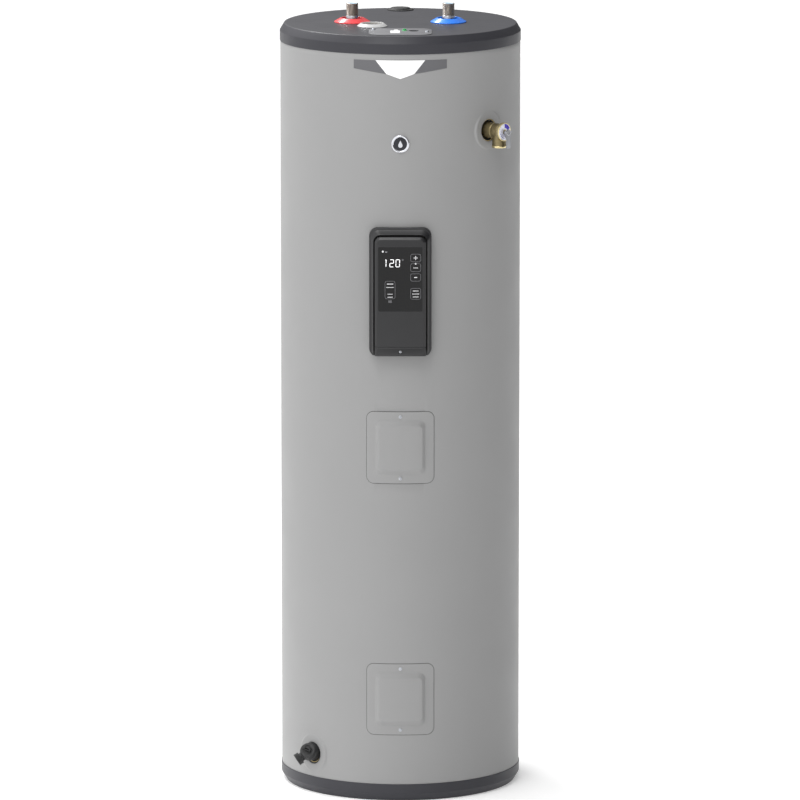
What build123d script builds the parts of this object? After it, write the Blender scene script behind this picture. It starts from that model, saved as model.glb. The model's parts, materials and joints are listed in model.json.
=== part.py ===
"""Electric tank water heater: steel tank, foam, painted jacket, valves, elements and control.

Millimetres. The origin is the centre of the base's underside, +Z is up and -Y is the front.
An angle round the tank is measured from the front, positive towards +X.
"""

import math
import os

from build123d import *

os.makedirs("parts", exist_ok=True)

# casing
jacket_r = 253.6
jacket_sheet = 0.6
pan_r = 254.6
pan_sheet = 1.0
base_foot_r = 244.4
base_edge_z = 16.7
base_top_z = 37.2
skirt_z = 1591.0
cap_edge_z = 1612.3
cap_rim_r = 245.3
cap_z = 1627.8
cap_rim_fillet = 2.0
cap_under_z = cap_z - pan_sheet

# tank
tank_r = 204.0
tank_wall = 2.0
head_sheet = 2.5
tank_foot_z = 40.0
head_skirt_r = tank_r - tank_wall
crown_z = 1590.0
crown_r = 408.0
tank_top_z = crown_z - crown_r + math.sqrt(crown_r**2 - head_skirt_r**2)
top_head_skirt = 21.0
floor_edge_z = 60.0
floor_rise = 50.0
floor_dome_r = (head_skirt_r**2 + floor_rise**2) / (2 * floor_rise)
floor_skirt = 16.0
foam_top_z = 1618.0

# fittings on the top
pipe_spacing = 203.2
pipe_r = 13.335
pipe_thread_r = 12.9
pipe_bore_r = 10.45
pipe_top_z = 1668.0
pipe_foot_z = 1580.0
pipe_thread_len = 26.0
anode_x, anode_y = -59.0, -75.0
foam_port_y = 210.0
spud_thread_r = 13.335

# junction box
box_y = -172.0
box_w, box_d, box_corner = 122.0, 96.0, 22.0
box_floor_z = 1592.0
cover_w, cover_d, cover_corner = 132.0, 108.0, 27.0
knockout_x, knockout_y, knockout_r = 28.0, -160.0, 11.1

# openings in the jacket
valve_hole_r = 23.4
access_w, access_h = 110.0, 124.0
upper_access_z = 760.0
lower_access_z = 220.4
element_drop = 22.0
sensor_rise = 34.0
harness_x, harness_y, harness_r = 44.0, -208.0, 5.0

# access covers
cover_plate_w, cover_plate_h, cover_plate_corner = 143.0, 152.5, 15.0
cover_sheet = 0.8
boss_foot_w, boss_foot_h = 104.0, 112.0
boss_face_w, boss_face_h = 91.0, 95.0
boss_rise = 7.0
cover_screw_offset = 65.8

# control panel on the front
panel_w, panel_h, panel_z = 130.4, 272.0, 1091.5
panel_corner = 18.0
panel_side_y = 263.6
panel_front_y = 272.4
pocket_w, pocket_top_z, pocket_back_y = 112.6, 1214.4, 257.0
door_w, door_bottom_z, door_top_z = 106.8, 958.3, 1210.5
door_front_y = 277.6
door_corner = 13.0
lens_w, lens_bottom_z, lens_top_z = 92.6, 1053.5, 1189.6
lens_corner, lens_fit = 2.0, 0.2
door_screw_z = 968.0

# relief valve, seen from the side as distance from the tank's axis
relief_angle, relief_z = 47.0, 1421.7
relief_body_r = 16.2
relief_outlet_x = 282.6
relief_outlet_r = 15.2
relief_outlet_drop = 34.0
relief_bore_r = 12.2
relief_bore_depth = 14.0
bonnet_r = 19.5
bonnet_back_x, bonnet_face_x = 290.0, 298.6
relief_pin_x = 306.5
relief_seat_x = 262.0
stem_r = 3.2
stem_button_r = 4.8

# drain valve
drain_angle, drain_hole_z, drain_z = -47.0, 87.6, 91.0
drain_centre_x = 265.6
drain_elbow = 45.0
drain_clock = 50.0
drain_outlet_len = 31.0
hose_thread_r = 13.2
hose_thread_len = 10.0
plug_r = 10.2
plug_gap = 0.3

fit_gap = 0.3


def outward(angle):
    """Unit vector pointing away from the tank's axis at an angle from the front."""
    a = math.radians(angle)
    return Vector(math.sin(a), -math.cos(a), 0)


def sideways(angle):
    """Unit vector along the jacket, level, towards greater angles."""
    a = math.radians(angle)
    return Vector(math.cos(a), math.sin(a), 0)


def face_plane(angle, radius, height):
    """Plane that faces outwards at a radius: its x is level along the jacket and its y is up."""
    origin = outward(angle) * radius + Vector(0, 0, height)
    return Plane(origin=origin, x_dir=sideways(angle), z_dir=outward(angle))


def section_plane(angle, height):
    """Upright plane through the tank's axis: its x is distance from that axis and its y is up."""
    return Plane(origin=(0, 0, height), x_dir=outward(angle), z_dir=sideways(angle) * -1)


def radial_axis(angle, height):
    """Level axis that runs outwards from the tank's axis."""
    return Axis((0, 0, height), outward(angle))


def save(piece, name):
    """Label a finished piece and write it to its own file."""
    piece.part.label = name
    export_step(piece.part, f"parts/{name}.step")


def cut_round_hole(angle, height, radius, inner, outer):
    """Cut a round radial hole between two distances from the tank's axis."""
    with BuildSketch(face_plane(angle, inner, height)) as hole:
        Circle(radius)
    extrude(hole.sketch, amount=outer - inner, mode=Mode.SUBTRACT)


def cut_front_window(width, height, centre_z, inner, outer):
    """Cut a square window through the front between two distances from the axis."""
    with BuildSketch(face_plane(0, inner, centre_z)) as window:
        Rectangle(width, height)
    extrude(window.sketch, amount=outer - inner, mode=Mode.SUBTRACT)


def cut_cover_screw_holes(radius):
    """Cut the four level holes of the access covers' screws."""
    for cover_z in (upper_access_z, lower_access_z):
        for screw_z in (cover_z - cover_screw_offset, cover_z + cover_screw_offset):
            cut_round_hole(0, screw_z, radius, jacket_r - 6, jacket_r + 10)


def keep_between(inner, outer, low_z, high_z):
    """Keep only what lies between two upright cylinders about the tank's axis."""
    tall = (Align.CENTER, Align.CENTER, Align.MIN)
    with Locations((0, 0, low_z)):
        Cylinder(outer, high_z - low_z, align=tall, mode=Mode.INTERSECT)
        Cylinder(inner, high_z - low_z, align=tall, mode=Mode.SUBTRACT)


# ---- casing ---------------------------------------------------------------------------------

with BuildPart() as base_pan:
    with BuildSketch(Plane.XZ):
        with BuildLine():
            Polyline(
                (0, 0),
                (base_foot_r, 0),
                (pan_r, base_edge_z),
                (pan_r, base_top_z),
                (0, base_top_z),
                close=True,
            )
        make_face()
    revolve(axis=Axis.Z)
    offset(amount=-pan_sheet, openings=base_pan.faces().sort_by(Axis.Z)[-1])
save(base_pan, "base_pan")

with BuildPart() as top_cap:
    with BuildSketch(Plane.XZ):
        with BuildLine():
            Polyline(
                (0, skirt_z),
                (pan_r, skirt_z),
                (pan_r, cap_edge_z),
                (cap_rim_r, cap_z),
                (0, cap_z),
                close=True,
            )
        make_face()
    revolve(axis=Axis.Z)
    fillet(top_cap.edges().filter_by(GeomType.CIRCLE).sort_by(Axis.Z)[-1], cap_rim_fillet)
    offset(amount=-pan_sheet, openings=top_cap.faces().sort_by(Axis.Z)[0])
    with BuildSketch(Plane.XY.offset(cap_under_z - 1)):
        with Locations((-pipe_spacing / 2, 0), (pipe_spacing / 2, 0)):
            Circle(27)
        with Locations((anode_x, anode_y)):
            Circle(24)
        with Locations((0, foam_port_y)):
            Circle(21)
        with Locations((0, box_y)):
            RectangleRounded(box_w - 2, box_d - 2, box_corner - 1)
    extrude(amount=3, mode=Mode.SUBTRACT)
save(top_cap, "top_cap")

with BuildPart() as jacket:
    with BuildSketch(Plane.XY.offset(base_edge_z + 1)):
        Circle(jacket_r)
        Circle(jacket_r - jacket_sheet, mode=Mode.SUBTRACT)
    extrude(amount=cap_edge_z - base_edge_z - 2)
    cut_round_hole(relief_angle, relief_z, valve_hole_r, 230, 270)
    cut_round_hole(drain_angle, drain_hole_z, valve_hole_r, 230, 270)
    for window_z in (upper_access_z, lower_access_z):
        cut_front_window(access_w, access_h, window_z, 230, 270)
    cut_front_window(80, 60, panel_z, 230, 270)
    cut_cover_screw_holes(2.0)
save(jacket, "jacket")

# ---- tank -----------------------------------------------------------------------------------

element_zs = (upper_access_z - element_drop, lower_access_z - element_drop)
side_spuds = (
    (relief_angle, relief_z, 19, spud_thread_r),
    (drain_angle, drain_z, 19, spud_thread_r),
    (0, element_zs[0], 26, 17),
    (0, element_zs[1], 26, 17),
)
top_spuds = ((-pipe_spacing / 2, 0), (pipe_spacing / 2, 0), (anode_x, anode_y))
spud_inner_x, spud_outer_x = 198.0, 213.0
spud_foot_z, spud_top_z = 1568.0, 1597.0

with BuildPart() as tank_shell:
    with BuildSketch(Plane.XY.offset(tank_foot_z)):
        Circle(tank_r)
        Circle(tank_r - tank_wall, mode=Mode.SUBTRACT)
    extrude(amount=tank_top_z - tank_foot_z)
    for angle, height, radius, _ in side_spuds:
        cut_round_hole(angle, height, radius, 180, 215)
save(tank_shell, "tank_shell")

heads = (
    ("tank_top_head", crown_z, crown_r, top_head_skirt),
    ("tank_bottom_head", floor_edge_z + floor_rise, floor_dome_r, floor_skirt),
)
for name, top_z, dome_r, skirt in heads:
    inner_r = head_skirt_r - head_sheet
    inner_dome_r = dome_r - head_sheet
    centre_z = top_z - dome_r
    outer_edge_z = centre_z + math.sqrt(dome_r**2 - head_skirt_r**2)
    inner_edge_z = centre_z + math.sqrt(inner_dome_r**2 - inner_r**2)
    with BuildPart() as dished_head:
        with BuildSketch(Plane.XZ):
            with BuildLine():
                RadiusArc((0, top_z), (head_skirt_r, outer_edge_z), dome_r)
                Line((head_skirt_r, outer_edge_z), (head_skirt_r, outer_edge_z - skirt))
                Line((head_skirt_r, outer_edge_z - skirt), (inner_r, outer_edge_z - skirt))
                Line((inner_r, outer_edge_z - skirt), (inner_r, inner_edge_z))
                RadiusArc((inner_r, inner_edge_z), (0, top_z - head_sheet), -inner_dome_r)
                Line((0, top_z - head_sheet), (0, top_z))
            make_face()
        revolve(axis=Axis.Z)
        with BuildSketch(Plane.XY.offset(1550)):
            with Locations(*top_spuds):
                Circle(19)
        extrude(amount=50, mode=Mode.SUBTRACT)
    save(dished_head, name)

with BuildPart() as tank_support_ring:
    with BuildSketch(Plane.XY.offset(pan_sheet)):
        Circle(240)
        Circle(170, mode=Mode.SUBTRACT)
    extrude(amount=tank_foot_z - pan_sheet)
save(tank_support_ring, "tank_support_ring")

with BuildPart() as tank_spuds:
    for angle, height, radius, bore in side_spuds:
        with BuildSketch(face_plane(angle, spud_inner_x, height)):
            Circle(radius)
            Circle(bore, mode=Mode.SUBTRACT)
        extrude(amount=spud_outer_x - spud_inner_x)
    with BuildSketch(Plane.XY.offset(spud_foot_z)):
        with Locations(*top_spuds):
            Circle(19)
            Circle(spud_thread_r, mode=Mode.SUBTRACT)
    extrude(amount=spud_top_z - spud_foot_z)
save(tank_spuds, "tank_spuds")

with BuildPart() as insulation_foam:
    foam_r = jacket_r - jacket_sheet
    foam_foot_z = tank_foot_z
    with BuildSketch(Plane.XZ):
        with BuildLine():
            Line((tank_r, foam_foot_z), (foam_r, foam_foot_z))
            Line((foam_r, foam_foot_z), (foam_r, cap_edge_z - 2))
            Line((foam_r, cap_edge_z - 2), (cap_rim_r + 3.5, foam_top_z))
            Line((cap_rim_r + 3.5, foam_top_z), (0, foam_top_z))
            Line((0, foam_top_z), (0, crown_z))
            RadiusArc((0, crown_z), (head_skirt_r, tank_top_z), crown_r)
            Line((head_skirt_r, tank_top_z), (tank_r, tank_top_z))
            Line((tank_r, tank_top_z), (tank_r, foam_foot_z))
        make_face()
    revolve(axis=Axis.Z)
    for window_z in (upper_access_z, lower_access_z):
        cut_front_window(access_w, access_h, window_z, 150, 260)
    cut_front_window(80, 110, panel_z, 205.5, 260)
    cut_round_hole(relief_angle, relief_z, 22.5, 190, 260)
    cut_round_hole(drain_angle, drain_z, 22.5, 190, 260)
    with BuildSketch(Plane.XY.offset(1540)):
        with Locations(*top_spuds):
            Circle(19.2)
    extrude(amount=100, mode=Mode.SUBTRACT)
    with BuildSketch(Plane.XY.offset(spud_top_z - 1)):
        with Locations(*top_spuds):
            Circle(24)
    extrude(amount=40, mode=Mode.SUBTRACT)
    with BuildSketch(Plane.XY.offset(box_floor_z)):
        with Locations((0, box_y)):
            RectangleRounded(box_w, box_d, box_corner)
    extrude(amount=40, mode=Mode.SUBTRACT)
    with BuildSketch(Plane.XY.offset(1600)):
        with Locations((0, foam_port_y)):
            Circle(20.6)
    extrude(amount=30, mode=Mode.SUBTRACT)
    with BuildSketch(Plane.XY.offset(200)):
        with Locations((harness_x, harness_y)):
            Circle(harness_r)
    extrude(amount=box_floor_z - 200, mode=Mode.SUBTRACT)
    cut_cover_screw_holes(2.0)
save(insulation_foam, "insulation_foam")

# ---- pipes, dip tube and anode --------------------------------------------------------------

for side, name in ((-1, "hot"), (1, "cold")):
    pipe_x = side * pipe_spacing / 2
    with BuildPart() as nipple:
        with BuildSketch(Plane.XY.offset(pipe_foot_z)):
            with Locations((pipe_x, 0)):
                Circle(pipe_thread_r)
        extrude(amount=pipe_top_z - pipe_foot_z)
        with BuildSketch(Plane.XY.offset(pipe_foot_z + 17)):
            with Locations((pipe_x, 0)):
                Circle(pipe_r)
        extrude(amount=pipe_top_z - pipe_thread_len - pipe_foot_z - 17)
        with BuildSketch(Plane.XY.offset(pipe_foot_z)):
            with Locations((pipe_x, 0)):
                Circle(pipe_bore_r)
        extrude(amount=pipe_top_z - pipe_foot_z, mode=Mode.SUBTRACT)
    save(nipple, f"{name}_nipple")

    with BuildPart() as liner:
        with BuildSketch(Plane.XY.offset(pipe_foot_z)):
            with Locations((pipe_x, 0)):
                Circle(pipe_bore_r)
                Circle(pipe_bore_r - 1.9, mode=Mode.SUBTRACT)
        extrude(amount=pipe_top_z - 1 - pipe_foot_z)
    save(liner, f"{name}_nipple_liner")

    with BuildPart() as ring:
        with BuildSketch(Plane.XZ):
            with BuildLine():
                Polyline(
                    (pipe_x + 27.5, cap_z),
                    (pipe_x + 38.0, cap_z),
                    (pipe_x + 38.0, cap_z + 1.6),
                    (pipe_x + 24.0, cap_z + 9.0),
                    (pipe_x + 22.5, cap_z + 9.0),
                    (pipe_x + 22.5, cap_z + 7.6),
                    close=True,
                )
            make_face()
        revolve(axis=Axis((pipe_x, 0, 0), (0, 0, 1)))
    save(ring, f"{name}_ring")

with BuildPart() as dip_tube:
    with BuildSketch(Plane.XY.offset(230)):
        with Locations((pipe_spacing / 2, 0)):
            Circle(9.5)
    extrude(amount=pipe_foot_z - 230 - 2)
    with BuildSketch(Plane.XY.offset(pipe_foot_z - 2)):
        with Locations((pipe_spacing / 2, 0)):
            Circle(12.4)
    extrude(amount=2)
    with BuildSketch(Plane.XY.offset(230)):
        with Locations((pipe_spacing / 2, 0)):
            Circle(8)
    extrude(amount=pipe_foot_z - 230, mode=Mode.SUBTRACT)
save(dip_tube, "dip_tube")

with BuildPart() as anode_rod:
    with BuildSketch(Plane.XY.offset(430)):
        with Locations((anode_x, anode_y)):
            Circle(10.7)
    extrude(amount=1574 - 430)
save(anode_rod, "anode_rod")

with BuildPart() as anode_head:
    with BuildSketch(Plane.XY.offset(1574)):
        with Locations((anode_x, anode_y)):
            Circle(spud_thread_r)
    extrude(amount=spud_top_z - 1574)
    with BuildSketch(Plane.XY.offset(spud_top_z)):
        with Locations((anode_x, anode_y)):
            RegularPolygon(13.5, 6, major_radius=False)
    extrude(amount=13)
    chamfer(anode_head.faces().sort_by(Axis.Z)[-1].edges(), 1.2)
save(anode_head, "anode_head")

with BuildPart() as anode_ring:
    with BuildSketch(Plane.XZ.offset(-anode_y)):
        with BuildLine():
            Polyline(
                (anode_x + 24.6, cap_z),
                (anode_x + 31.8, cap_z),
                (anode_x + 31.8, cap_z + 1.4),
                (anode_x + 23.2, cap_z + 7.0),
                (anode_x + 21.9, cap_z + 7.0),
                (anode_x + 21.9, cap_z + 5.8),
                close=True,
            )
        make_face()
    revolve(axis=Axis((anode_x, anode_y, 0), (0, 0, 1)))
save(anode_ring, "anode_ring")

with BuildPart() as foam_port_plug:
    with BuildSketch(Plane.XY.offset(1610)):
        with Locations((0, foam_port_y)):
            Circle(20.4)
    extrude(amount=cap_z - 1610)
    with BuildSketch(Plane.XY.offset(cap_z)):
        with Locations((0, foam_port_y)):
            Circle(28.5)
    extrude(amount=2)
    with BuildSketch(Plane.XY.offset(cap_z + 2)):
        with Locations((0, foam_port_y)):
            Circle(21.5)
    extrude(amount=3)
    fillet(foam_port_plug.edges().group_by(Axis.Z)[-1], 1.2)
save(foam_port_plug, "foam_port_plug")

# ---- junction box ---------------------------------------------------------------------------

with BuildPart() as junction_box:
    with BuildSketch(Plane.XY.offset(box_floor_z)):
        with Locations((0, box_y)):
            RectangleRounded(box_w, box_d, box_corner)
    extrude(amount=cap_under_z - box_floor_z)
    offset(amount=-pan_sheet, openings=junction_box.faces().sort_by(Axis.Z)[-1])
    with BuildSketch(Plane.XY.offset(box_floor_z)):
        with Locations((harness_x, harness_y)):
            Circle(harness_r)
    extrude(amount=3, mode=Mode.SUBTRACT)
save(junction_box, "junction_box")

cover_screw_spots = ((-56, -141), (56, -178))
with BuildPart() as junction_cover:
    with BuildSketch(Plane.XY.offset(cap_z)):
        with Locations((0, box_y)):
            RectangleRounded(cover_w, cover_d, cover_corner)
        with Locations((knockout_x, knockout_y)):
            Circle(knockout_r, mode=Mode.SUBTRACT)
        with Locations(*cover_screw_spots):
            Circle(2.2, mode=Mode.SUBTRACT)
    extrude(amount=1.5)
save(junction_cover, "junction_cover")

with BuildPart() as junction_cover_screws:
    with BuildSketch(Plane.XY.offset(cap_z + 1.5)):
        with Locations(*cover_screw_spots):
            Circle(4.2)
    extrude(amount=2.6)
    fillet(junction_cover_screws.edges().group_by(Axis.Z)[-1], 1.0)
    with BuildSketch(Plane.XY.offset(cap_under_z - 6)):
        with Locations(*cover_screw_spots):
            Circle(2.0)
    extrude(amount=6 + pan_sheet + 1.5)
save(junction_cover_screws, "junction_cover_screws")

with BuildPart() as ground_screw:
    with BuildSketch(Plane.XY.offset(cap_z + 1.5)):
        with Locations((9, -157)):
            Circle(6.2)
    extrude(amount=0.9)
    with BuildSketch(Plane.XY.offset(cap_z + 2.4)):
        with Locations((9, -157)):
            RegularPolygon(3.9, 6, major_radius=False)
    extrude(amount=2.6)
save(ground_screw, "ground_screw")

with BuildPart() as wiring_harness:
    harness_runs = (
        (panel_z + 40, box_floor_z + 6),
        (upper_access_z + 40, panel_z - 40),
        (lower_access_z + 40, upper_access_z - 40),
    )
    for run_foot_z, run_top_z in harness_runs:
        with BuildSketch(Plane.XY.offset(run_foot_z)):
            with Locations((harness_x, harness_y)):
                Circle(harness_r - 0.2)
        extrude(amount=run_top_z - run_foot_z)
save(wiring_harness, "wiring_harness")

# ---- heating elements and sensors -----------------------------------------------------------

places = (("upper", upper_access_z), ("lower", lower_access_z))
for name, cover_z in places:
    element_z = cover_z - element_drop
    with BuildPart() as gasket:
        with BuildSketch(face_plane(0, spud_outer_x, element_z)):
            Circle(22)
            Circle(16.7, mode=Mode.SUBTRACT)
        extrude(amount=2)
    save(gasket, f"{name}_element_gasket")

    with BuildPart() as element_head:
        with BuildSketch(face_plane(0, 194, element_z)):
            Circle(16.6)
        extrude(amount=spud_outer_x + 2 - 194)
        with BuildSketch(face_plane(0, spud_outer_x + 2, element_z)):
            RegularPolygon(19, 6, major_radius=False)
        extrude(amount=7)
        with BuildSketch(face_plane(0, spud_outer_x + 9, element_z)):
            Circle(14)
        extrude(amount=6)
        with BuildSketch(face_plane(0, spud_outer_x + 15, element_z)):
            with Locations((-7.5, 0), (7.5, 0)):
                Circle(3)
        extrude(amount=3)
    save(element_head, f"{name}_element_head")

    with BuildPart() as element_sheath:
        with BuildLine() as sheath_path:
            Line((-9, -194, element_z), (-9, 80, element_z))
            RadiusArc((-9, 80, element_z), (9, 80, element_z), 9)
            Line((9, 80, element_z), (9, -194, element_z))
        with BuildSketch(Plane(origin=(-9, -194, element_z), z_dir=(0, 1, 0))):
            Circle(4)
        sweep(path=sheath_path.line)
    save(element_sheath, f"{name}_element_sheath")

    with BuildPart() as sensor:
        with BuildSketch(face_plane(0, tank_r + 0.2, cover_z + sensor_rise)):
            RectangleRounded(38, 30, 3)
        extrude(amount=12)
    save(sensor, f"{name}_temperature_sensor")

    with BuildPart() as pad:
        with BuildSketch(face_plane(0, 200, cover_z)):
            Rectangle(access_w - 6, access_h - 6)
        extrude(amount=60)
        keep_between(236, jacket_r - 2, cover_z - 70, cover_z + 70)
    save(pad, f"{name}_cover_insulation")

    with BuildPart() as raised:
        with BuildSketch(face_plane(0, 238, cover_z)):
            RectangleRounded(boss_foot_w, boss_foot_h, 12)
        with BuildSketch(face_plane(0, jacket_r + boss_rise + 2, cover_z)):
            RectangleRounded(boss_face_w, boss_face_h, 9)
        loft()
        keep_between(jacket_r, jacket_r + boss_rise, cover_z - 90, cover_z + 90)

    with BuildPart() as hollow:
        with BuildSketch(face_plane(0, 238, cover_z)):
            RectangleRounded(boss_foot_w - 2, boss_foot_h - 2, 11)
        with BuildSketch(face_plane(0, jacket_r + boss_rise + 2, cover_z)):
            RectangleRounded(boss_face_w - 2, boss_face_h - 2, 8)
        loft()
        boss_under_r = jacket_r + boss_rise - cover_sheet
        keep_between(jacket_r - 10, boss_under_r, cover_z - 90, cover_z + 90)

    with BuildPart() as access_cover:
        with BuildSketch(face_plane(0, 240, cover_z)):
            RectangleRounded(cover_plate_w, cover_plate_h, cover_plate_corner)
        extrude(amount=30)
        keep_between(jacket_r, jacket_r + cover_sheet, cover_z - 90, cover_z + 90)
        add(raised.part)
        add(hollow.part, mode=Mode.SUBTRACT)
        for screw_z in (cover_z - cover_screw_offset, cover_z + cover_screw_offset):
            cut_round_hole(0, screw_z, 2.3, 245, 262)
    save(access_cover, f"{name}_access_cover")

with BuildPart() as access_cover_screws:
    for _, cover_z in places:
        for screw_z in (cover_z - cover_screw_offset, cover_z + cover_screw_offset):
            with BuildSketch(face_plane(0, jacket_r + cover_sheet, screw_z)):
                Circle(4.2)
            extrude(amount=2.4)
            with BuildSketch(face_plane(0, jacket_r - 5, screw_z)):
                Circle(2.0)
            extrude(amount=5 + cover_sheet)
save(access_cover_screws, "access_cover_screws")

# ---- control --------------------------------------------------------------------------------

with BuildPart() as control_housing:
    with BuildSketch(face_plane(0, 240, panel_z)):
        RectangleRounded(panel_w, panel_h, panel_corner)
    extrude(amount=panel_side_y - 240)
    with BuildSketch(face_plane(0, panel_side_y, panel_z)):
        RectangleRounded(panel_w, panel_h, panel_corner)
    extrude(amount=panel_front_y - panel_side_y, taper=40)
    with Locations((0, 0, panel_z)):
        Cylinder(jacket_r, panel_h + 20, mode=Mode.SUBTRACT)
    pocket_foot_z = panel_z - panel_h / 2 - 25
    pocket_h = pocket_top_z - pocket_foot_z
    with BuildSketch(face_plane(0, pocket_back_y, pocket_foot_z + pocket_h / 2)):
        RectangleRounded(pocket_w, pocket_h, door_corner + 2.5)
    extrude(amount=30, mode=Mode.SUBTRACT)
    cut_front_window(76, 56, panel_z, 240, 262)
save(control_housing, "control_housing")

with BuildPart() as control_cover:
    door_h = door_top_z - door_bottom_z
    door_z = (door_top_z + door_bottom_z) / 2
    with BuildSketch(face_plane(0, pocket_back_y + 1, door_z)):
        with BuildLine():
            Polyline(
                (-door_w / 2, door_h / 2),
                (-door_w / 2, -door_h / 2),
                (door_w / 2, -door_h / 2),
                (door_w / 2, door_h / 2),
                close=True,
            )
        make_face()
    extrude(amount=door_front_y - pocket_back_y - 1)
    fillet(control_cover.edges().filter_by(Axis.Y).group_by(Axis.Z)[-1], door_corner)
    offset(amount=-2.4, openings=control_cover.faces().sort_by(Axis.Y)[-1])
    front_face = control_cover.faces().sort_by(Axis.Y)[0]
    chamfer(front_face.edges(), 1.8)
    lens_h = lens_top_z - lens_bottom_z
    lens_z = (lens_top_z + lens_bottom_z) / 2
    with BuildSketch(face_plane(0, door_front_y, lens_z)):
        RectangleRounded(lens_w + 2 * lens_fit, lens_h + 2 * lens_fit, lens_corner + lens_fit)
    extrude(amount=-1.0, mode=Mode.SUBTRACT)
    cut_round_hole(0, door_screw_z, 4.7, door_front_y - 1.4, door_front_y + 2)
    cut_round_hole(0, door_screw_z, 2.1, 262, door_front_y + 2)
save(control_cover, "control_cover")

with BuildPart() as control_lens:
    with BuildSketch(face_plane(0, door_front_y - 1.0, lens_z)):
        RectangleRounded(lens_w, lens_h, lens_corner)
    extrude(amount=1.0)
save(control_lens, "control_lens")

with BuildPart() as control_board:
    with BuildSketch(face_plane(0, 260, lens_z - 6)):
        Rectangle(90, 160)
    extrude(amount=1.6)
save(control_board, "control_board")

with BuildPart() as display_module:
    with BuildSketch(face_plane(0, 261.6, lens_top_z - 34)):
        Rectangle(60, 34)
    extrude(amount=9)
save(display_module, "display_module")

with BuildPart() as control_cover_screw:
    with BuildSketch(face_plane(0, door_front_y - 1.4, door_screw_z)):
        Circle(3.9)
    extrude(amount=1.9)
    with BuildSketch(face_plane(0, pocket_back_y, door_screw_z)):
        Circle(1.9)
    extrude(amount=door_front_y - 1.4 - pocket_back_y)
save(control_cover_screw, "control_cover_screw")

# ---- badges ---------------------------------------------------------------------------------

plate_top_z = 1578.7
wing_w, wing_drop = 194.4, 18.4
shield_w, shield_waist_w = 103.7, 58.0
shield_waist_drop, shield_drop = 28.5, 39.0

with BuildPart() as nameplate:
    with BuildSketch(face_plane(0, 230, plate_top_z)):
        with BuildLine():
            Polyline(
                (-wing_w / 2, 0),
                (-wing_w / 2, -wing_drop),
                (-shield_waist_w / 2, -shield_waist_drop),
                (0, -shield_drop),
                (shield_waist_w / 2, -shield_waist_drop),
                (wing_w / 2, -wing_drop),
                (wing_w / 2, 0),
                close=True,
            )
        make_face()
    extrude(amount=40)
    keep_between(jacket_r, jacket_r + 1.2, plate_top_z - 60, plate_top_z + 20)
save(nameplate, "nameplate")

with BuildPart() as nameplate_shield:
    with BuildSketch(face_plane(0, 230, plate_top_z)):
        with BuildLine():
            Polyline(
                (-shield_w / 2, 0),
                (-shield_waist_w / 2, -shield_waist_drop),
                (0, -shield_drop),
                (shield_waist_w / 2, -shield_waist_drop),
                (shield_w / 2, 0),
                close=True,
            )
        make_face()
    extrude(amount=40)
    keep_between(jacket_r + 1.2, jacket_r + 2.0, plate_top_z - 60, plate_top_z + 20)
save(nameplate_shield, "nameplate_shield")

badge_z, badge_r, badge_inner_r = 1403.4, 18.7, 15.0
with BuildPart() as badge_ring:
    with BuildSketch(face_plane(0, 245, badge_z)):
        Circle(badge_r)
        Circle(badge_inner_r, mode=Mode.SUBTRACT)
    extrude(amount=jacket_r + 3.2 - 245)
    with Locations((0, 0, badge_z)):
        Cylinder(jacket_r, 60, mode=Mode.SUBTRACT)
    fillet(badge_ring.edges().group_by(Axis.Y)[0], 1.0)
save(badge_ring, "badge_ring")

with BuildPart() as badge_disc:
    with BuildSketch(face_plane(0, 245, badge_z)):
        Circle(badge_inner_r)
    extrude(amount=jacket_r + 2.2 - 245)
    with Locations((0, 0, badge_z)):
        Cylinder(jacket_r, 60, mode=Mode.SUBTRACT)
save(badge_disc, "badge_disc")

# ---- temperature and pressure relief valve --------------------------------------------------

relief_axis = radial_axis(relief_angle, relief_z)
relief_section = section_plane(relief_angle, relief_z)
relief_out = outward(relief_angle)
relief_side = sideways(relief_angle)


def relief_point(distance, height=0.0, across=0.0):
    """Point of the relief valve: distance from the tank's axis, height and sideways place."""
    return relief_out * distance + relief_side * across + Vector(0, 0, relief_z + height)


def turned(section, axis, points):
    """Add a turned shape: a closed outline of (distance, radius) points spun about an axis."""
    with BuildSketch(section) as outline:
        with BuildLine():
            Polyline(*points, close=True)
        make_face()
    revolve(outline.sketch, axis=axis)


with BuildPart() as tp_body:
    turned(
        relief_section,
        relief_axis,
        [
            (196, 0),
            (196, spud_thread_r),
            (218, spud_thread_r),
            (218, 15.5),
            (238, 15.5),
            (238, relief_body_r),
            (288, relief_body_r),
            (288, 14.5),
            (bonnet_back_x, 14.5),
            (bonnet_back_x, 0),
        ],
    )
    with BuildSketch(Plane(origin=relief_point(relief_outlet_x), z_dir=(0, 0, -1))):
        Circle(relief_outlet_r)
    extrude(amount=relief_outlet_drop)
    cut_round_hole(relief_angle, relief_z, bonnet_r + 0.5, bonnet_back_x, 320)
    cut_round_hole(relief_angle, relief_z, 9, 190, relief_seat_x)
    cut_round_hole(relief_angle, relief_z, 12, relief_seat_x, 292)
    outlet_end = relief_point(relief_outlet_x, -relief_outlet_drop)
    with BuildSketch(Plane(origin=outlet_end, z_dir=(0, 0, 1))):
        Circle(relief_bore_r)
    extrude(amount=relief_bore_depth, mode=Mode.SUBTRACT)
    with BuildSketch(Plane(origin=outlet_end, z_dir=(0, 0, 1))):
        Circle(7.0)
    extrude(amount=relief_outlet_drop, mode=Mode.SUBTRACT)
save(tp_body, "tp_body")

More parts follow.
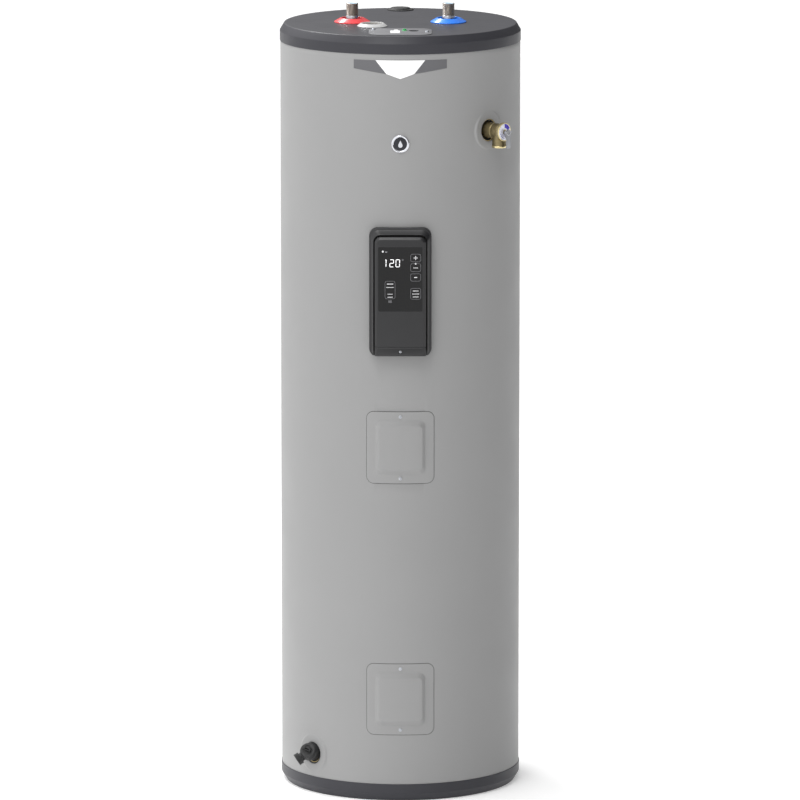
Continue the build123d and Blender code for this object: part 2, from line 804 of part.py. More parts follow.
with BuildPart() as tp_bonnet:
    turned(
        relief_section,
        relief_axis,
        [
            (bonnet_back_x, 12),
            (bonnet_back_x, bonnet_r - 0.6),
            (bonnet_back_x + 0.6, bonnet_r),
            (bonnet_face_x - 0.6, bonnet_r),
            (bonnet_face_x, bonnet_r - 0.6),
            (bonnet_face_x, bonnet_r - 1.5),
            (bonnet_face_x - 0.8, bonnet_r - 1.5),
            (bonnet_face_x - 0.8, stem_r + fit_gap),
            (bonnet_face_x - 3.4, stem_r + fit_gap),
            (bonnet_face_x - 3.4, 12),
        ],
    )
save(tp_bonnet, "tp_bonnet")

with BuildPart() as tp_tag:
    with BuildSketch(face_plane(relief_angle, bonnet_face_x - 0.8, relief_z)):
        Circle(bonnet_r - 1.6)
        Circle(5.5, mode=Mode.SUBTRACT)
    extrude(amount=0.6)
save(tp_tag, "tp_tag")

with BuildPart() as tp_probe:
    with BuildSketch(face_plane(relief_angle, 92, relief_z)):
        Circle(4.8)
    extrude(amount=253 - 92)
    fillet(tp_probe.edges().sort_by(Axis(relief_point(0), relief_out))[0], 2.5)
save(tp_probe, "tp_probe")

with BuildPart() as tp_stem:
    seat_top_x = relief_seat_x + fit_gap + 3
    turned(
        relief_section,
        relief_axis,
        [
            (relief_seat_x - 7, 0),
            (relief_seat_x - 7, 5),
            (relief_seat_x + fit_gap, 5),
            (relief_seat_x + fit_gap, 10.8),
            (seat_top_x, 10.8),
            (seat_top_x, stem_r),
            (relief_pin_x + 3.0, stem_r),
            (relief_pin_x + 3.0, stem_button_r),
            (relief_pin_x + 4.5, stem_button_r),
            (relief_pin_x + 4.5, 0),
        ],
    )
    with BuildSketch(Plane(origin=relief_point(relief_pin_x, 0, -10), z_dir=relief_side)):
        Circle(1.75)
    extrude(amount=20, mode=Mode.SUBTRACT)
save(tp_stem, "tp_stem")

with BuildPart() as tp_spring:
    spring_foot_x = seat_top_x + 0.9
    spring_len = bonnet_face_x - 3.4 - 0.9 - spring_foot_x
    with BuildLine() as coil:
        Helix(
            pitch=spring_len / 5,
            height=spring_len,
            radius=8.8,
            center=relief_point(spring_foot_x),
            direction=relief_out,
        )
    with BuildSketch(Plane(origin=coil.line @ 0, z_dir=coil.line % 0)):
        Circle(0.8)
    sweep(path=coil.line, is_frenet=True)
save(tp_spring, "tp_spring")

lever_tip = 34.0
lever_half_w = 6.5
lever_ear_r = 5.2
lever_pin_r = 1.5
lever_pin_tail = 11.5
lever_sheet = 1.2
with BuildPart() as tp_lever:
    web_x = relief_pin_x + 1.7
    with BuildSketch(relief_section):
        with Locations((relief_pin_x, 0)):
            Circle(lever_ear_r)
        with BuildLine():
            Polyline(
                (relief_pin_x - 5.1, 0),
                (relief_pin_x - 3.2, -10),
                (web_x - 0.6, -24),
                (web_x - 0.6, -lever_tip),
                (web_x + lever_sheet, -lever_tip),
                (web_x + lever_sheet, -4),
                (relief_pin_x + 5.1, 0),
                close=True,
            )
        make_face()
    extrude(amount=lever_half_w, both=True)
    with BuildSketch(relief_section):
        with Locations((relief_pin_x, -3)):
            Rectangle(40, 12.2 + 5)
    extrude(amount=lever_half_w - lever_sheet, both=True, mode=Mode.SUBTRACT)
    with BuildSketch(relief_section):
        with Locations((web_x - 20, -20)):
            Rectangle(40, 60)
    extrude(amount=lever_half_w - lever_sheet, both=True, mode=Mode.SUBTRACT)
    with BuildSketch(relief_section):
        with Locations((relief_pin_x, 0)):
            Circle(lever_pin_r)
    extrude(amount=12, both=True, mode=Mode.SUBTRACT)
save(tp_lever, "tp_lever")

with BuildPart() as tp_lever_pin:
    with BuildSketch(relief_section):
        with Locations((relief_pin_x, 0)):
            Circle(lever_pin_r)
    extrude(amount=lever_half_w + 1.4, both=True)
    with BuildSketch(relief_section):
        with Locations((relief_pin_x, 0)):
            Circle(lever_pin_r)
    extrude(amount=-lever_pin_tail)
save(tp_lever_pin, "tp_lever_pin")

# ---- drain valve ----------------------------------------------------------------------------

drain_out = outward(drain_angle)
drain_side = sideways(drain_angle)
elbow = math.radians(drain_elbow)
clock = math.radians(drain_clock)
across = drain_side * -math.cos(clock) + Vector(0, 0, -math.sin(clock))
outlet_dir = drain_out * math.cos(elbow) + across * math.sin(elbow)
stem_dir = drain_out * math.sin(elbow) - across * math.cos(elbow)
drain_centre = drain_out * drain_centre_x + Vector(0, 0, drain_z)


def drain_plane(direction, distance):
    """Plane that faces along one of the valve's arms, at a distance from its centre."""
    return Plane(origin=drain_centre + direction * distance, z_dir=direction)


with BuildPart() as drain_body:
    with BuildSketch(face_plane(drain_angle, 196, drain_z)):
        Circle(spud_thread_r)
    extrude(amount=26)
    with BuildSketch(face_plane(drain_angle, 222, drain_z)):
        Circle(19.5)
    extrude(amount=drain_centre_x - 222)
    with BuildSketch(drain_plane(stem_dir, -14)):
        Circle(17.5)
    extrude(amount=26)
    with BuildSketch(drain_plane(outlet_dir, 0)):
        Circle(9.2)
    extrude(amount=drain_outlet_len - 1)
    with BuildSketch(drain_plane(outlet_dir, drain_outlet_len - hose_thread_len)):
        Circle(hose_thread_r)
    extrude(amount=hose_thread_len)
    with BuildSketch(drain_plane(stem_dir, -9)):
        Circle(plug_r + plug_gap)
    extrude(amount=19, mode=Mode.SUBTRACT)
    with BuildSketch(drain_plane(stem_dir, 0)):
        Circle(5.3)
    extrude(amount=13, mode=Mode.SUBTRACT)
    with BuildSketch(drain_plane(outlet_dir, 0)):
        Circle(6.2)
    extrude(amount=drain_outlet_len + 1, mode=Mode.SUBTRACT)
    with BuildSketch(face_plane(drain_angle, 190, drain_z)):
        Circle(7.5)
    extrude(amount=drain_centre_x - 190, mode=Mode.SUBTRACT)
save(drain_body, "drain_body")

with BuildPart() as drain_stem:
    with BuildSketch(drain_plane(stem_dir, -9 + fit_gap)):
        Circle(plug_r)
    extrude(amount=19 - 2 * fit_gap)
    with BuildSketch(drain_plane(stem_dir, 9)):
        Circle(5.0)
    extrude(amount=4)
    with BuildSketch(drain_plane(stem_dir, 12 + fit_gap)):
        Circle(8.3)
    extrude(amount=6.7)
    closed_port = outlet_dir.cross(stem_dir)
    with BuildSketch(drain_plane(stem_dir, -9)):
        Circle(6.0)
    extrude(amount=11, mode=Mode.SUBTRACT)
    with BuildSketch(drain_plane(closed_port, 0)):
        Circle(6.0)
    extrude(amount=12, mode=Mode.SUBTRACT)
    slot_plane = Plane(
        origin=drain_centre + stem_dir * (19 - 3.2), x_dir=closed_port, z_dir=stem_dir
    )
    with BuildSketch(slot_plane):
        with Locations(Location((0, 0), 29)):
            SlotOverall(11, 2.2)
    extrude(amount=6, mode=Mode.SUBTRACT)
save(drain_stem, "drain_stem")

with BuildPart() as valve_hole_seals:
    for angle, height, valve_r in ((relief_angle, relief_z, 15.5), (drain_angle, drain_z, 19.5)):
        with BuildSketch(face_plane(angle, 232, height)):
            Circle(22.3)
            Circle(valve_r, mode=Mode.SUBTRACT)
        extrude(amount=6)
save(valve_hole_seals, "valve_hole_seals")

print("relief axis point", relief_point(relief_pin_x), "sideways", relief_side)
print("drain centre", drain_centre, "stem", stem_dir, "outlet", outlet_dir)
print("drain outlet end", drain_centre + outlet_dir * drain_outlet_len)
print("relief outlet end", outlet_end)
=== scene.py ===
# %% [markdown]
# # A tall electric water heater
# The heater is a steel tank inside foam inside a painted steel jacket, with a dark pressed cap
# and base, pipe nipples on top, a control panel on the front and a valve on each side.
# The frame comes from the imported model. Each visible piece is then worked out again as a fine
# surface and given a finish with the grain of the real one.

import json
import math

import bmesh
import bpy
import numpy as np
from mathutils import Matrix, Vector
from mathutils.geometry import tessellate_polygon


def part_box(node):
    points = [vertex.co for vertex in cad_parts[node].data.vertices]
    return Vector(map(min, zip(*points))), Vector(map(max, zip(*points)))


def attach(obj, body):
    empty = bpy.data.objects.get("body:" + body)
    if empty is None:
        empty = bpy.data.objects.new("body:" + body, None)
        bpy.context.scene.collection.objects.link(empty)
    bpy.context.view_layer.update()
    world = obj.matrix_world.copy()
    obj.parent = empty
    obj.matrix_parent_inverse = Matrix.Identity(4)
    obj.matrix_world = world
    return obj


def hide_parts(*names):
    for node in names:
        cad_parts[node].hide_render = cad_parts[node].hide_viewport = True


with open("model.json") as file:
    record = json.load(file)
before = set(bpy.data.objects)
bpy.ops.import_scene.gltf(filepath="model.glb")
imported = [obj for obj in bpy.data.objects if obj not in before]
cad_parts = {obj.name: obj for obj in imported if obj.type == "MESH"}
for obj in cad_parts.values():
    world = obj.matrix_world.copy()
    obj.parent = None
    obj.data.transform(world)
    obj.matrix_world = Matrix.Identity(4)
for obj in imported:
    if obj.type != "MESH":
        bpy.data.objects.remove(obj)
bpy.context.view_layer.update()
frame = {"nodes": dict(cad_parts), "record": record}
record = frame["record"]
slot_of = {part["node"]: part["material_slot"] for part in record["subparts"]}
body_of = {node: body for body, nodes in record["behaviour"]["bodies"].items() for node in nodes}

# %% [markdown]
# Sizes are read in millimetres, since that is how sheet metal and pipe are drawn, and turned to
# metres only when a mesh is made. A piece's place always starts from its node's box.

# %% Units and places
MM = 0.001


def box_mm(node):
    """Lowest and highest corner of a node, as two arrays in millimetres."""
    low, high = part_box(node)
    return np.array(low) / MM, np.array(high) / MM


def middle_mm(node):
    """Centre of a node's box, in millimetres."""
    low, high = box_mm(node)
    return (low + high) / 2


jacket_low, jacket_high = box_mm("jacket")
jacket_r = (jacket_high[0] - jacket_low[0]) / 2
print("jacket radius", round(jacket_r, 1), "mm")

# %% [markdown]
# Every new surface is a grid of points: rows run along the piece and columns run across it.
# numpy works out all the points at once, and one function joins neighbours into faces. It can
# close the grid on itself either way and cap its ends, so one tool makes turned, lofted and
# swept pieces alike.

# %% From grids of points to meshes


def grid_faces(rows, columns, wrap_rows=False, wrap_columns=True, first=0):
    """Quads between neighbours: corner (i, j) joins (i+1, j), (i+1, j+1) and (i, j+1)."""
    index = first + np.arange(rows * columns).reshape(rows, columns)
    if wrap_rows:
        index = np.vstack([index, index[:1]])
    if wrap_columns:
        index = np.hstack([index, index[:, :1]])
    corners = [index[:-1, :-1], index[:-1, 1:], index[1:, 1:], index[1:, :-1]]
    return np.stack(corners, axis=-1).reshape(-1, 4)


def build_mesh(name, points, faces, crease=32.0, merge=0.004, away_from=None):
    """Mesh object from points in millimetres. Points closer than merge become one, and faces
    point outwards. An open sheet is turned to face away from the point away_from."""
    mesh = bpy.data.meshes.new(name)
    mesh.from_pydata(np.asarray(points).reshape(-1, 3) * MM, [], [list(map(int, f)) for f in faces])
    work = bmesh.new()
    work.from_mesh(mesh)
    bmesh.ops.remove_doubles(work, verts=work.verts, dist=merge * MM)
    bmesh.ops.dissolve_degenerate(work, edges=work.edges, dist=merge * MM / 4)
    bmesh.ops.recalc_face_normals(work, faces=work.faces)
    if away_from is not None:
        centre = Vector(away_from) * MM
        outward = sum(f.normal.dot(f.calc_center_median() - centre) * f.calc_area() for f in work.faces)
        if outward < 0:
            bmesh.ops.reverse_faces(work, faces=work.faces)
    work.to_mesh(mesh)
    work.free()
    mesh.shade_smooth()
    mesh.set_sharp_from_angle(angle=math.radians(crease))
    piece = bpy.data.objects.new(name, mesh)
    bpy.context.scene.collection.objects.link(piece)
    return piece


def grid_piece(name, points, caps=True, wrap_rows=False, wrap_columns=True, **options):
    """Piece from a grid of points, with its first and last rows filled in when caps is set."""
    rows, columns = points.shape[:2]
    faces = grid_faces(rows, columns, wrap_rows, wrap_columns).tolist()
    if caps and not wrap_rows:
        faces += [list(range(columns)), list(range((rows - 1) * columns, rows * columns))]
    return build_mesh(name, points, faces, **options)


def joined(name, pieces):
    """One piece from several, so that a fitting made of separate solids stays one part."""
    work = bmesh.new()
    for piece in pieces:
        work.from_mesh(piece.data)
        bpy.data.objects.remove(piece)
    mesh = bpy.data.meshes.new(name)
    work.to_mesh(mesh)
    work.free()
    made = bpy.data.objects.new(name, mesh)
    bpy.context.scene.collection.objects.link(made)
    return made


# %% [markdown]
# Pressed and moulded parts have no knife edges. An outline is drawn with sharp corners and a
# radius for each, and this function swaps every corner for an arc that touches both its sides.

# %% Rounded outlines


def rounded(corners, radii, steps=5, closed=False):
    """Outline with an arc at each corner: the arc's centre lies on the corner's bisector at
    radius / sin(half angle), and it starts radius / tan(half angle) along each side."""
    corners = [np.array(c, float) for c in corners]
    radii = [radii] * len(corners) if np.isscalar(radii) else radii
    out = []
    for i, (corner, radius) in enumerate(zip(corners, radii)):
        at_end = not closed and i in (0, len(corners) - 1)
        if at_end or radius == 0:
            out.append(corner[None])
            continue
        back = corners[i - 1] - corner
        ahead = corners[(i + 1) % len(corners)] - corner
        back, ahead = back / np.linalg.norm(back), ahead / np.linalg.norm(ahead)
        half = math.acos(np.clip(back @ ahead, -1, 1)) / 2
        centre = corner + (back + ahead) / np.linalg.norm(back + ahead) * radius / math.sin(half)
        start = corner + back * radius / math.tan(half) - centre
        end = corner + ahead * radius / math.tan(half) - centre
        share = np.linspace(0, 1, steps + 1)[:, None]
        sweep = math.pi - 2 * half
        arc = (start * np.sin((1 - share) * sweep) + end * np.sin(share * sweep)) / math.sin(sweep)
        out.append(centre + arc)
    return np.vstack(out)


def circle(radius, count=48, centre=(0.0, 0.0)):
    """Points round a circle."""
    turn = np.linspace(0, 2 * math.pi, count, endpoint=False)
    return np.column_stack([centre[0] + radius * np.cos(turn), centre[1] + radius * np.sin(turn)])


def rounded_box(width, height, corner, steps=8, centre=(0.0, 0.0)):
    """Points round a rectangle with round corners, the same number for any size."""
    w, h = width / 2, height / 2
    points = rounded([(w, -h), (w, h), (-w, h), (-w, -h)], corner, steps, closed=True)
    return points + np.array(centre)


class Seat:
    """Where a piece sits: an origin and three unit directions, across, up and out."""

    def __init__(self, origin, out, up=(0, 0, 1)):
        self.origin = np.array(origin, float)
        self.out = np.array(out, float) / np.linalg.norm(out)
        across = np.cross(np.array(up, float), self.out)
        self.across = across / np.linalg.norm(across)
        self.up = np.cross(self.out, self.across)

    def put(self, across, up, out):
        """Points at these distances along the three directions."""
        parts = np.broadcast_arrays(across, up, out)
        return (
            self.origin
            + parts[0][..., None] * self.across
            + parts[1][..., None] * self.up
            + parts[2][..., None] * self.out
        )


def turned(name, seat, profile, count=72, closed=False, **options):
    """Turned piece: a profile of (radius, distance out) points spun about the seat's axis."""
    profile = np.array(profile, float)
    turn = np.linspace(0, 2 * math.pi, count, endpoint=False)
    across = profile[:, :1] * np.cos(turn)
    up = profile[:, :1] * np.sin(turn)
    points = seat.put(across, up, profile[:, 1:])
    return grid_piece(name, points, wrap_rows=closed, **options)


def lofted(name, seat, levels, **options):
    """Lofted piece: outlines of equal length, each at its own distance out, joined in turn."""
    points = np.stack([seat.put(outline[:, 0], outline[:, 1], out) for outline, out in levels])
    return grid_piece(name, points, **options)


upright = Seat((0, 0, 0), (0, 0, 1), up=(0, 1, 0))
front = Seat((0, 0, 0), (0, -1, 0))
print("seats ready, front looks along", front.out)


def extruded(name, seat, outline, low, high, edge=0.3, **options):
    """Flat plate: an outline carried from low to high, with its edges eased by edge."""
    centre = outline.mean(0)
    inset = centre + (outline - centre) * (1 - edge / np.abs(outline - centre).max())
    levels = [(inset, low), (outline, low + edge), (outline, high - edge), (inset, high)]
    return lofted(name, seat, levels, **options)


# %% [markdown]
# A piece is finished the same way each time: it takes its material, rides on a body, and hides
# the plain node that it takes over from.

# %% Finishing a piece


def finish_piece(piece, material, node, also=(), bevel=None, wall=None):
    """Gives a piece its material, modifiers and body, and hides the nodes it replaces."""
    piece.data.materials.clear()
    piece.data.materials.append(material)
    if wall:
        solid = piece.modifiers.new("sheet", "SOLIDIFY")
        solid.thickness = wall * MM
        solid.offset = -1
        solid.use_even_offset = True
    if bevel:
        edge = piece.modifiers.new("edge", "BEVEL")
        edge.width = bevel * MM
        edge.segments = 2
        edge.limit_method = "ANGLE"
        edge.angle_limit = math.radians(40)
    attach(piece, body_of[node])
    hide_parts(node, *also)
    print(piece.name, len(piece.data.polygons), "faces")
    return piece


def trim(piece, material, node, bevel=None):
    """A detail that goes with a node without taking its place."""
    piece.data.materials.clear()
    piece.data.materials.append(material)
    if bevel:
        edge = piece.modifiers.new("edge", "BEVEL")
        edge.width = bevel * MM
        edge.segments = 2
        edge.limit_method = "ANGLE"
        edge.angle_limit = math.radians(40)
    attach(piece, body_of[node])
    print(piece.name, len(piece.data.polygons), "faces, with", node)
    return piece


# %% [markdown]
# ## Finishes
# A finish has three layers of detail: slow drifts of colour, patches where the gloss changes,
# and a fine bump. Each is noise whose size comes from the real thing in millimetres. The
# colours are written as sRGB hex, as a paint chip is read, and turned to linear light here.

# %% Colour and node helpers


def linear(hex_colour):
    """sRGB hex to linear RGBA: c / 12.92 below 0.04045, else ((c + 0.055) / 1.055) ** 2.4."""
    c = np.array([int(hex_colour[i : i + 2], 16) / 255 for i in (1, 3, 5)])
    light = np.where(c <= 0.04045, c / 12.92, ((c + 0.055) / 1.055) ** 2.4)
    return (*light.tolist(), 1.0)


def add_node(tree, kind, inputs=None, **settings):
    """Adds a node, sets its settings, and fills or links its inputs."""
    made = tree.nodes.new(kind)
    for key, value in settings.items():
        setattr(made, key, value)
    for socket, value in (inputs or {}).items():
        if isinstance(value, bpy.types.NodeSocket):
            tree.links.new(value, made.inputs[socket])
        else:
            made.inputs[socket].default_value = value
    return made


def finish(
    name,
    colour,
    drift=None,
    drift_mm=60.0,
    rough=(0.4, 0.5),
    rough_mm=8.0,
    bump_mm=1.5,
    bump_depth=0.0,
    metallic=0.0,
    stretch=(1, 1, 1),
    octaves=3.0,
    **sockets,
):
    """Material with drifting colour, patchy gloss and a fine bump. Noise of size s millimetres
    has scale 1000 / s, because Object coordinates are in metres."""
    material = bpy.data.materials.new(name)
    material.use_nodes = True
    tree = material.node_tree
    shader = tree.nodes["Principled BSDF"]
    shader.inputs["Metallic"].default_value = metallic
    for socket, value in sockets.items():
        shader.inputs[socket.replace("_", " ")].default_value = value
    place = add_node(tree, "ShaderNodeTexCoord").outputs["Object"]
    place = add_node(tree, "ShaderNodeMapping", {"Vector": place, "Scale": stretch}).outputs["Vector"]
    slow = add_node(
        tree, "ShaderNodeTexNoise", {"Vector": place, "Scale": 1000 / drift_mm, "Detail": octaves}
    )
    # a colour mix keeps its two colours in sockets 6 and 7, after its number and vector pairs
    colours = add_node(
        tree,
        "ShaderNodeMix",
        {"Factor": slow.outputs["Fac"], 6: linear(colour), 7: linear(drift or colour)},
        data_type="RGBA",
    )
    tree.links.new(colours.outputs[2], shader.inputs["Base Color"])
    patch = add_node(tree, "ShaderNodeTexNoise", {"Vector": place, "Scale": 1000 / rough_mm, "Detail": 2.0})
    gloss = add_node(
        tree,
        "ShaderNodeMapRange",
        {
            "Value": patch.outputs["Fac"],
            "From Min": 0.3,
            "From Max": 0.7,
            "To Min": rough[0],
            "To Max": rough[1],
        },
    )
    tree.links.new(gloss.outputs["Result"], shader.inputs["Roughness"])
    if bump_depth:
        fine = add_node(tree, "ShaderNodeTexNoise", {"Vector": place, "Scale": 1000 / bump_mm, "Detail": 1.0})
        bump = add_node(
            tree, "ShaderNodeBump", {
                "Height": fine.outputs["Fac"], "Distance": bump_depth * MM, "Strength": 1.0
            }
        )
        tree.links.new(bump.outputs["Normal"], shader.inputs["Normal"])
    return material


# %% [markdown]
# The jacket is coil-coated steel: polyester enamel rolled on and baked before the sheet is
# formed. It is even and satin, with a faint orange peel about 2 mm across that only shows
# where a light slides over it. The cap and base have the same paint in charcoal.

# %% Painted sheet
jacket_paint = finish(
    "coil_coated_grey_enamel",
    "#8e8e8e",
    drift="#929292",
    drift_mm=220,
    rough=(0.42, 0.50),
    rough_mm=90,
    bump_mm=2.2,
    bump_depth=0.012,
    Specular_IOR_Level=0.3,
)
cap_paint = finish(
    "charcoal_enamel",
    "#333338",
    drift="#36363b",
    drift_mm=160,
    rough=(0.38, 0.46),
    rough_mm=60,
    bump_mm=2.0,
    bump_depth=0.010,
    Specular_IOR_Level=0.3,
)
cover_paint = finish(
    "grey_enamel_plate",
    "#6b6b6e",
    drift="#717174",
    drift_mm=60,
    rough=(0.32, 0.42),
    rough_mm=20,
    bump_mm=1.8,
    bump_depth=0.010,
    Specular_IOR_Level=0.3,
)

# %% [markdown]
# The metals keep their own reflection colour. Zinc plating is cool with cloudy spangle, pipe
# thread is cut through the plating and looks browner, cast brass is dull and pitted while its
# turned faces are bright, and the badge ring is plated and polished.

# %% Metals
zinc_steel = finish(
    "zinc_plated_steel",
    "#c9cbd0",
    drift="#a8abb2",
    drift_mm=7,
    rough=(0.22, 0.40),
    rough_mm=3,
    bump_mm=1.2,
    bump_depth=0.01,
    metallic=1.0,
)
cut_thread = finish(
    "cut_pipe_thread",
    "#b5aea6",
    drift="#8f8983",
    drift_mm=5,
    rough=(0.32, 0.5),
    rough_mm=2,
    bump_mm=0.8,
    bump_depth=0.02,
    metallic=1.0,
)
galvanised = finish(
    "galvanised_sheet", "#9fa3a6", drift="#84888c", drift_mm=11, rough=(0.35, 0.55), rough_mm=6, metallic=1.0
)
cast_brass = finish(
    "sand_cast_brass",
    "#8f8363",
    drift="#786c50",
    drift_mm=9,
    rough=(0.42, 0.58),
    rough_mm=3,
    bump_mm=0.9,
    bump_depth=0.07,
    metallic=1.0,
)
turned_brass = finish(
    "turned_brass",
    "#e9dcb4",
    drift="#d8c68e",
    drift_mm=6,
    rough=(0.16, 0.28),
    rough_mm=2,
    bump_mm=0.6,
    bump_depth=0.01,
    metallic=1.0,
)
stamped_steel = finish(
    "stamped_lever_steel",
    "#9c9da0",
    drift="#87888b",
    drift_mm=6,
    rough=(0.25, 0.4),
    rough_mm=2.5,
    bump_mm=0.7,
    bump_depth=0.012,
    metallic=1.0,
    stretch=(1, 1, 0.2),
)
bright_chrome = finish(
    "plated_badge_chrome",
    "#d9dadf",
    drift="#cfd0d6",
    drift_mm=10,
    rough=(0.10, 0.18),
    rough_mm=4,
    metallic=1.0,
)
tag_foil = finish(
    "anodised_tag_foil",
    "#f6f6fc",
    drift="#e8e8f8",
    drift_mm=6,
    rough=(0.22, 0.34),
    rough_mm=2,
    bump_mm=0.5,
    bump_depth=0.01,
    metallic=0.3,
)

# %% [markdown]
# The mouldings differ mostly in gloss. The trim rings are glossy coloured polypropylene, the
# control is ABS with a fine spark-eroded grain, the drain valve is nylon with a dull skin, and
# the touch window is a hard-coated film that is darker and smoother than what it sits in.

# %% Mouldings
red_plastic = finish(
    "red_polypropylene", "#e13c41", drift="#e8494e", drift_mm=20, rough=(
        0.2, 0.3
    ), bump_mm=1.5, bump_depth=0.006
)
blue_plastic = finish(
    "blue_polypropylene", "#1b74e8", drift="#2780f2", drift_mm=20, rough=(
        0.2, 0.3
    ), bump_mm=1.5, bump_depth=0.006
)
pale_plastic = finish(
    "pale_grey_polypropylene",
    "#b9b9b9",
    drift="#c4c4c4",
    drift_mm=20,
    rough=(0.22, 0.32),
    bump_mm=1.5,
    bump_depth=0.006,
)
liner_plastic = finish(
    "pipe_liner_plastic", "#cfe3f0", drift="#bcd8ea", drift_mm=8, rough=(
        0.25, 0.35
    ), bump_mm=1.0, bump_depth=0.01
)
control_plastic = finish(
    "grained_dark_abs",
    "#18181a",
    drift="#1c1c1e",
    drift_mm=40,
    rough=(0.28, 0.38),
    rough_mm=6,
    bump_mm=0.5,
    bump_depth=0.012,
)
# Painted shade: the control's ABS made darker still, for the pocket's floor and the cup round the screw,
# where shade falls.
pocket_shade_plastic = finish(
    "painted_shade_dark_abs", "#0c0c0d", drift="#121213", drift_mm=20, rough=(
        0.5, 0.6
    ), bump_mm=0.6, bump_depth=0.01
)
touch_film = finish(
    "hard_coated_touch_film",
    "#101011",
    drift="#121213",
    drift_mm=50,
    rough=(0.16, 0.24),
    rough_mm=15,
    bump_mm=3.0,
    bump_depth=0.002,
    Specular_IOR_Level=0.3,
)
black_nylon = finish(
    "black_glass_filled_nylon",
    "#1b1b1c",
    drift="#262627",
    drift_mm=9,
    rough=(0.42, 0.6),
    rough_mm=3,
    bump_mm=0.7,
    bump_depth=0.03,
)
# Black foam for the plug; the same dark finish also makes the painted shade strip round each access cover.
black_foam_and_gap_shade = finish(
    "black_foam_plug_and_gap_shade", "#141415", drift="#1c1c1d", drift_mm=12, rough=(
        0.55, 0.7
    ), bump_mm=1.2, bump_depth=0.05
)
rubber_black = finish(
    "black_moulded_rubber", "#161616", drift="#1e1e1e", drift_mm=12, rough=(
        0.6, 0.75
    ), bump_mm=1.0, bump_depth=0.03
)
label_grey = finish(
    "grey_printed_polycarbonate", "#5a5a5d", drift="#5e5e61", drift_mm=40, rough=(
        0.3, 0.36
    ), bump_mm=2.0, bump_depth=0.003
)
label_white = finish(
    "white_printed_polycarbonate",
    "#f4f4f4",
    drift="#efefef",
    drift_mm=40,
    rough=(0.28, 0.34),
    bump_mm=2.0,
    bump_depth=0.003,
)
badge_enamel = finish(
    "dark_badge_enamel", "#101219", drift="#171a24", drift_mm=12, rough=(
        0.12, 0.2
    ), bump_mm=2.0, bump_depth=0.002
)
violet_print = finish(
    "violet_tag_print", "#3a2f9a", drift="#5145b4", drift_mm=5, rough=(0.25, 0.4), metallic=0.6
)
green_enamel = finish(
    "green_ground_mark", "#1f9a4a", drift="#2aa858", drift_mm=5, rough=(
        0.3, 0.45
    ), bump_mm=1.0, bump_depth=0.01
)
print_white = finish(
    "white_key_print", "#e4e4e6", drift="#dcdcde", drift_mm=4, rough=(0.4, 0.5)
)
print_grey = finish("grey_key_print", "#8a8a8e", drift="#828286", drift_mm=4, rough=(0.4, 0.5))
lit_digit = finish(
    "lit_display_digit",
    "#f2f2f2",
    drift="#e8e8ec",
    drift_mm=4,
    rough=(0.4, 0.5),
    Emission_Color=linear("#ffffff"),
    Emission_Strength=0.55,
)

# %% [markdown]
# The pieces inside can't be seen until a cover is off, so their nodes stay as they are and
# take a finish each by slot: glass enamel on the tank, sprayed foam, copper and magnesium.

# %% Finishes inside
inner_finishes = {
    "jacket_paint": jacket_paint,
    "cap_paint": cap_paint,
    "tank_steel": finish(
        "blue_glass_enamel", "#26303c", drift="#1d2631", drift_mm=14, rough=(
            0.15, 0.3
        ), bump_mm=3, bump_depth=0.02
    ),
    "spud_steel": finish(
        "machined_spud_steel", "#8a8a8c", drift="#77777a", drift_mm=6, rough=(0.3, 0.5), metallic=1.0
    ),
    "foam": finish(
        "rigid_urethane_foam", "#d9c48a", drift="#c7ae72", drift_mm=9, rough=(
            0.8, 0.95
        ), bump_mm=1.6, bump_depth=0.4
    ),
    "zinc_steel": galvanised,
    "liner_plastic": liner_plastic,
    "red_plastic": red_plastic,
    "blue_plastic": blue_plastic,
    "light_plastic": pale_plastic,
    "black_plastic": black_nylon,
    "dip_plastic": finish(
        "white_dip_tube_plastic", "#dcdcd8", drift="#d0d0cb", drift_mm=20, rough=(
            0.4, 0.5
        ), bump_mm=2, bump_depth=0.01
    ),
    "anode_metal": finish(
        "cast_magnesium", "#9c9c9c", drift="#7e7e7e", drift_mm=8, rough=(
            0.5, 0.7
        ), metallic=1.0, bump_mm=2, bump_depth=0.1
    ),
    "screw_steel": zinc_steel,
    "cover_paint": cover_paint,
    "ground_green": green_enamel,
    "wire_sleeve": finish(
        "braided_wire_sleeve", "#26262a", drift="#35353a", drift_mm=3, rough=(
            0.6, 0.8
        ), bump_mm=1.2, bump_depth=0.2
    ),
    "gasket_rubber": rubber_black,
    "element_head_steel": finish(
        "element_hex_steel", "#aaa79f", drift="#8f8c85", drift_mm=6, rough=(0.25, 0.45), metallic=1.0
    ),
    "element_copper": finish(
        "element_sheath_copper", "#b8704a", drift="#96583a", drift_mm=7, rough=(0.25, 0.45), metallic=1.0
    ),
    "sensor_resin": finish(
        "black_phenolic", "#18181a", drift="#222224", drift_mm=8, rough=(
            0.35, 0.5
        ), bump_mm=1, bump_depth=0.02
    ),
    "control_plastic": control_plastic,
    "touch_film": touch_film,
    "circuit_board": finish(
        "green_solder_mask", "#14532d", drift="#1b6437", drift_mm=5, rough=(
            0.2, 0.35
        ), bump_mm=1, bump_depth=0.02
    ),
    "display_case": finish(
        "black_display_case", "#141416", drift="#1b1b1e", drift_mm=9, rough=(
            0.25, 0.35
        ), bump_mm=1, bump_depth=0.01
    ),
    "plate_grey": label_grey,
    "plate_white": label_white,
    "badge_chrome": bright_chrome,
    "badge_dark": badge_enamel,
    "brass": cast_brass,
    "tag_foil": tag_foil,
    "spring_steel": finish(
        "drawn_spring_wire", "#b4b5b8", drift="#9fa0a4", drift_mm=3, rough=(0.2, 0.35), metallic=1.0
    ),
    "probe_copper": finish(
        "probe_copper", "#b8704a", drift="#a0603e", drift_mm=7, rough=(0.25, 0.4), metallic=1.0
    ),
}
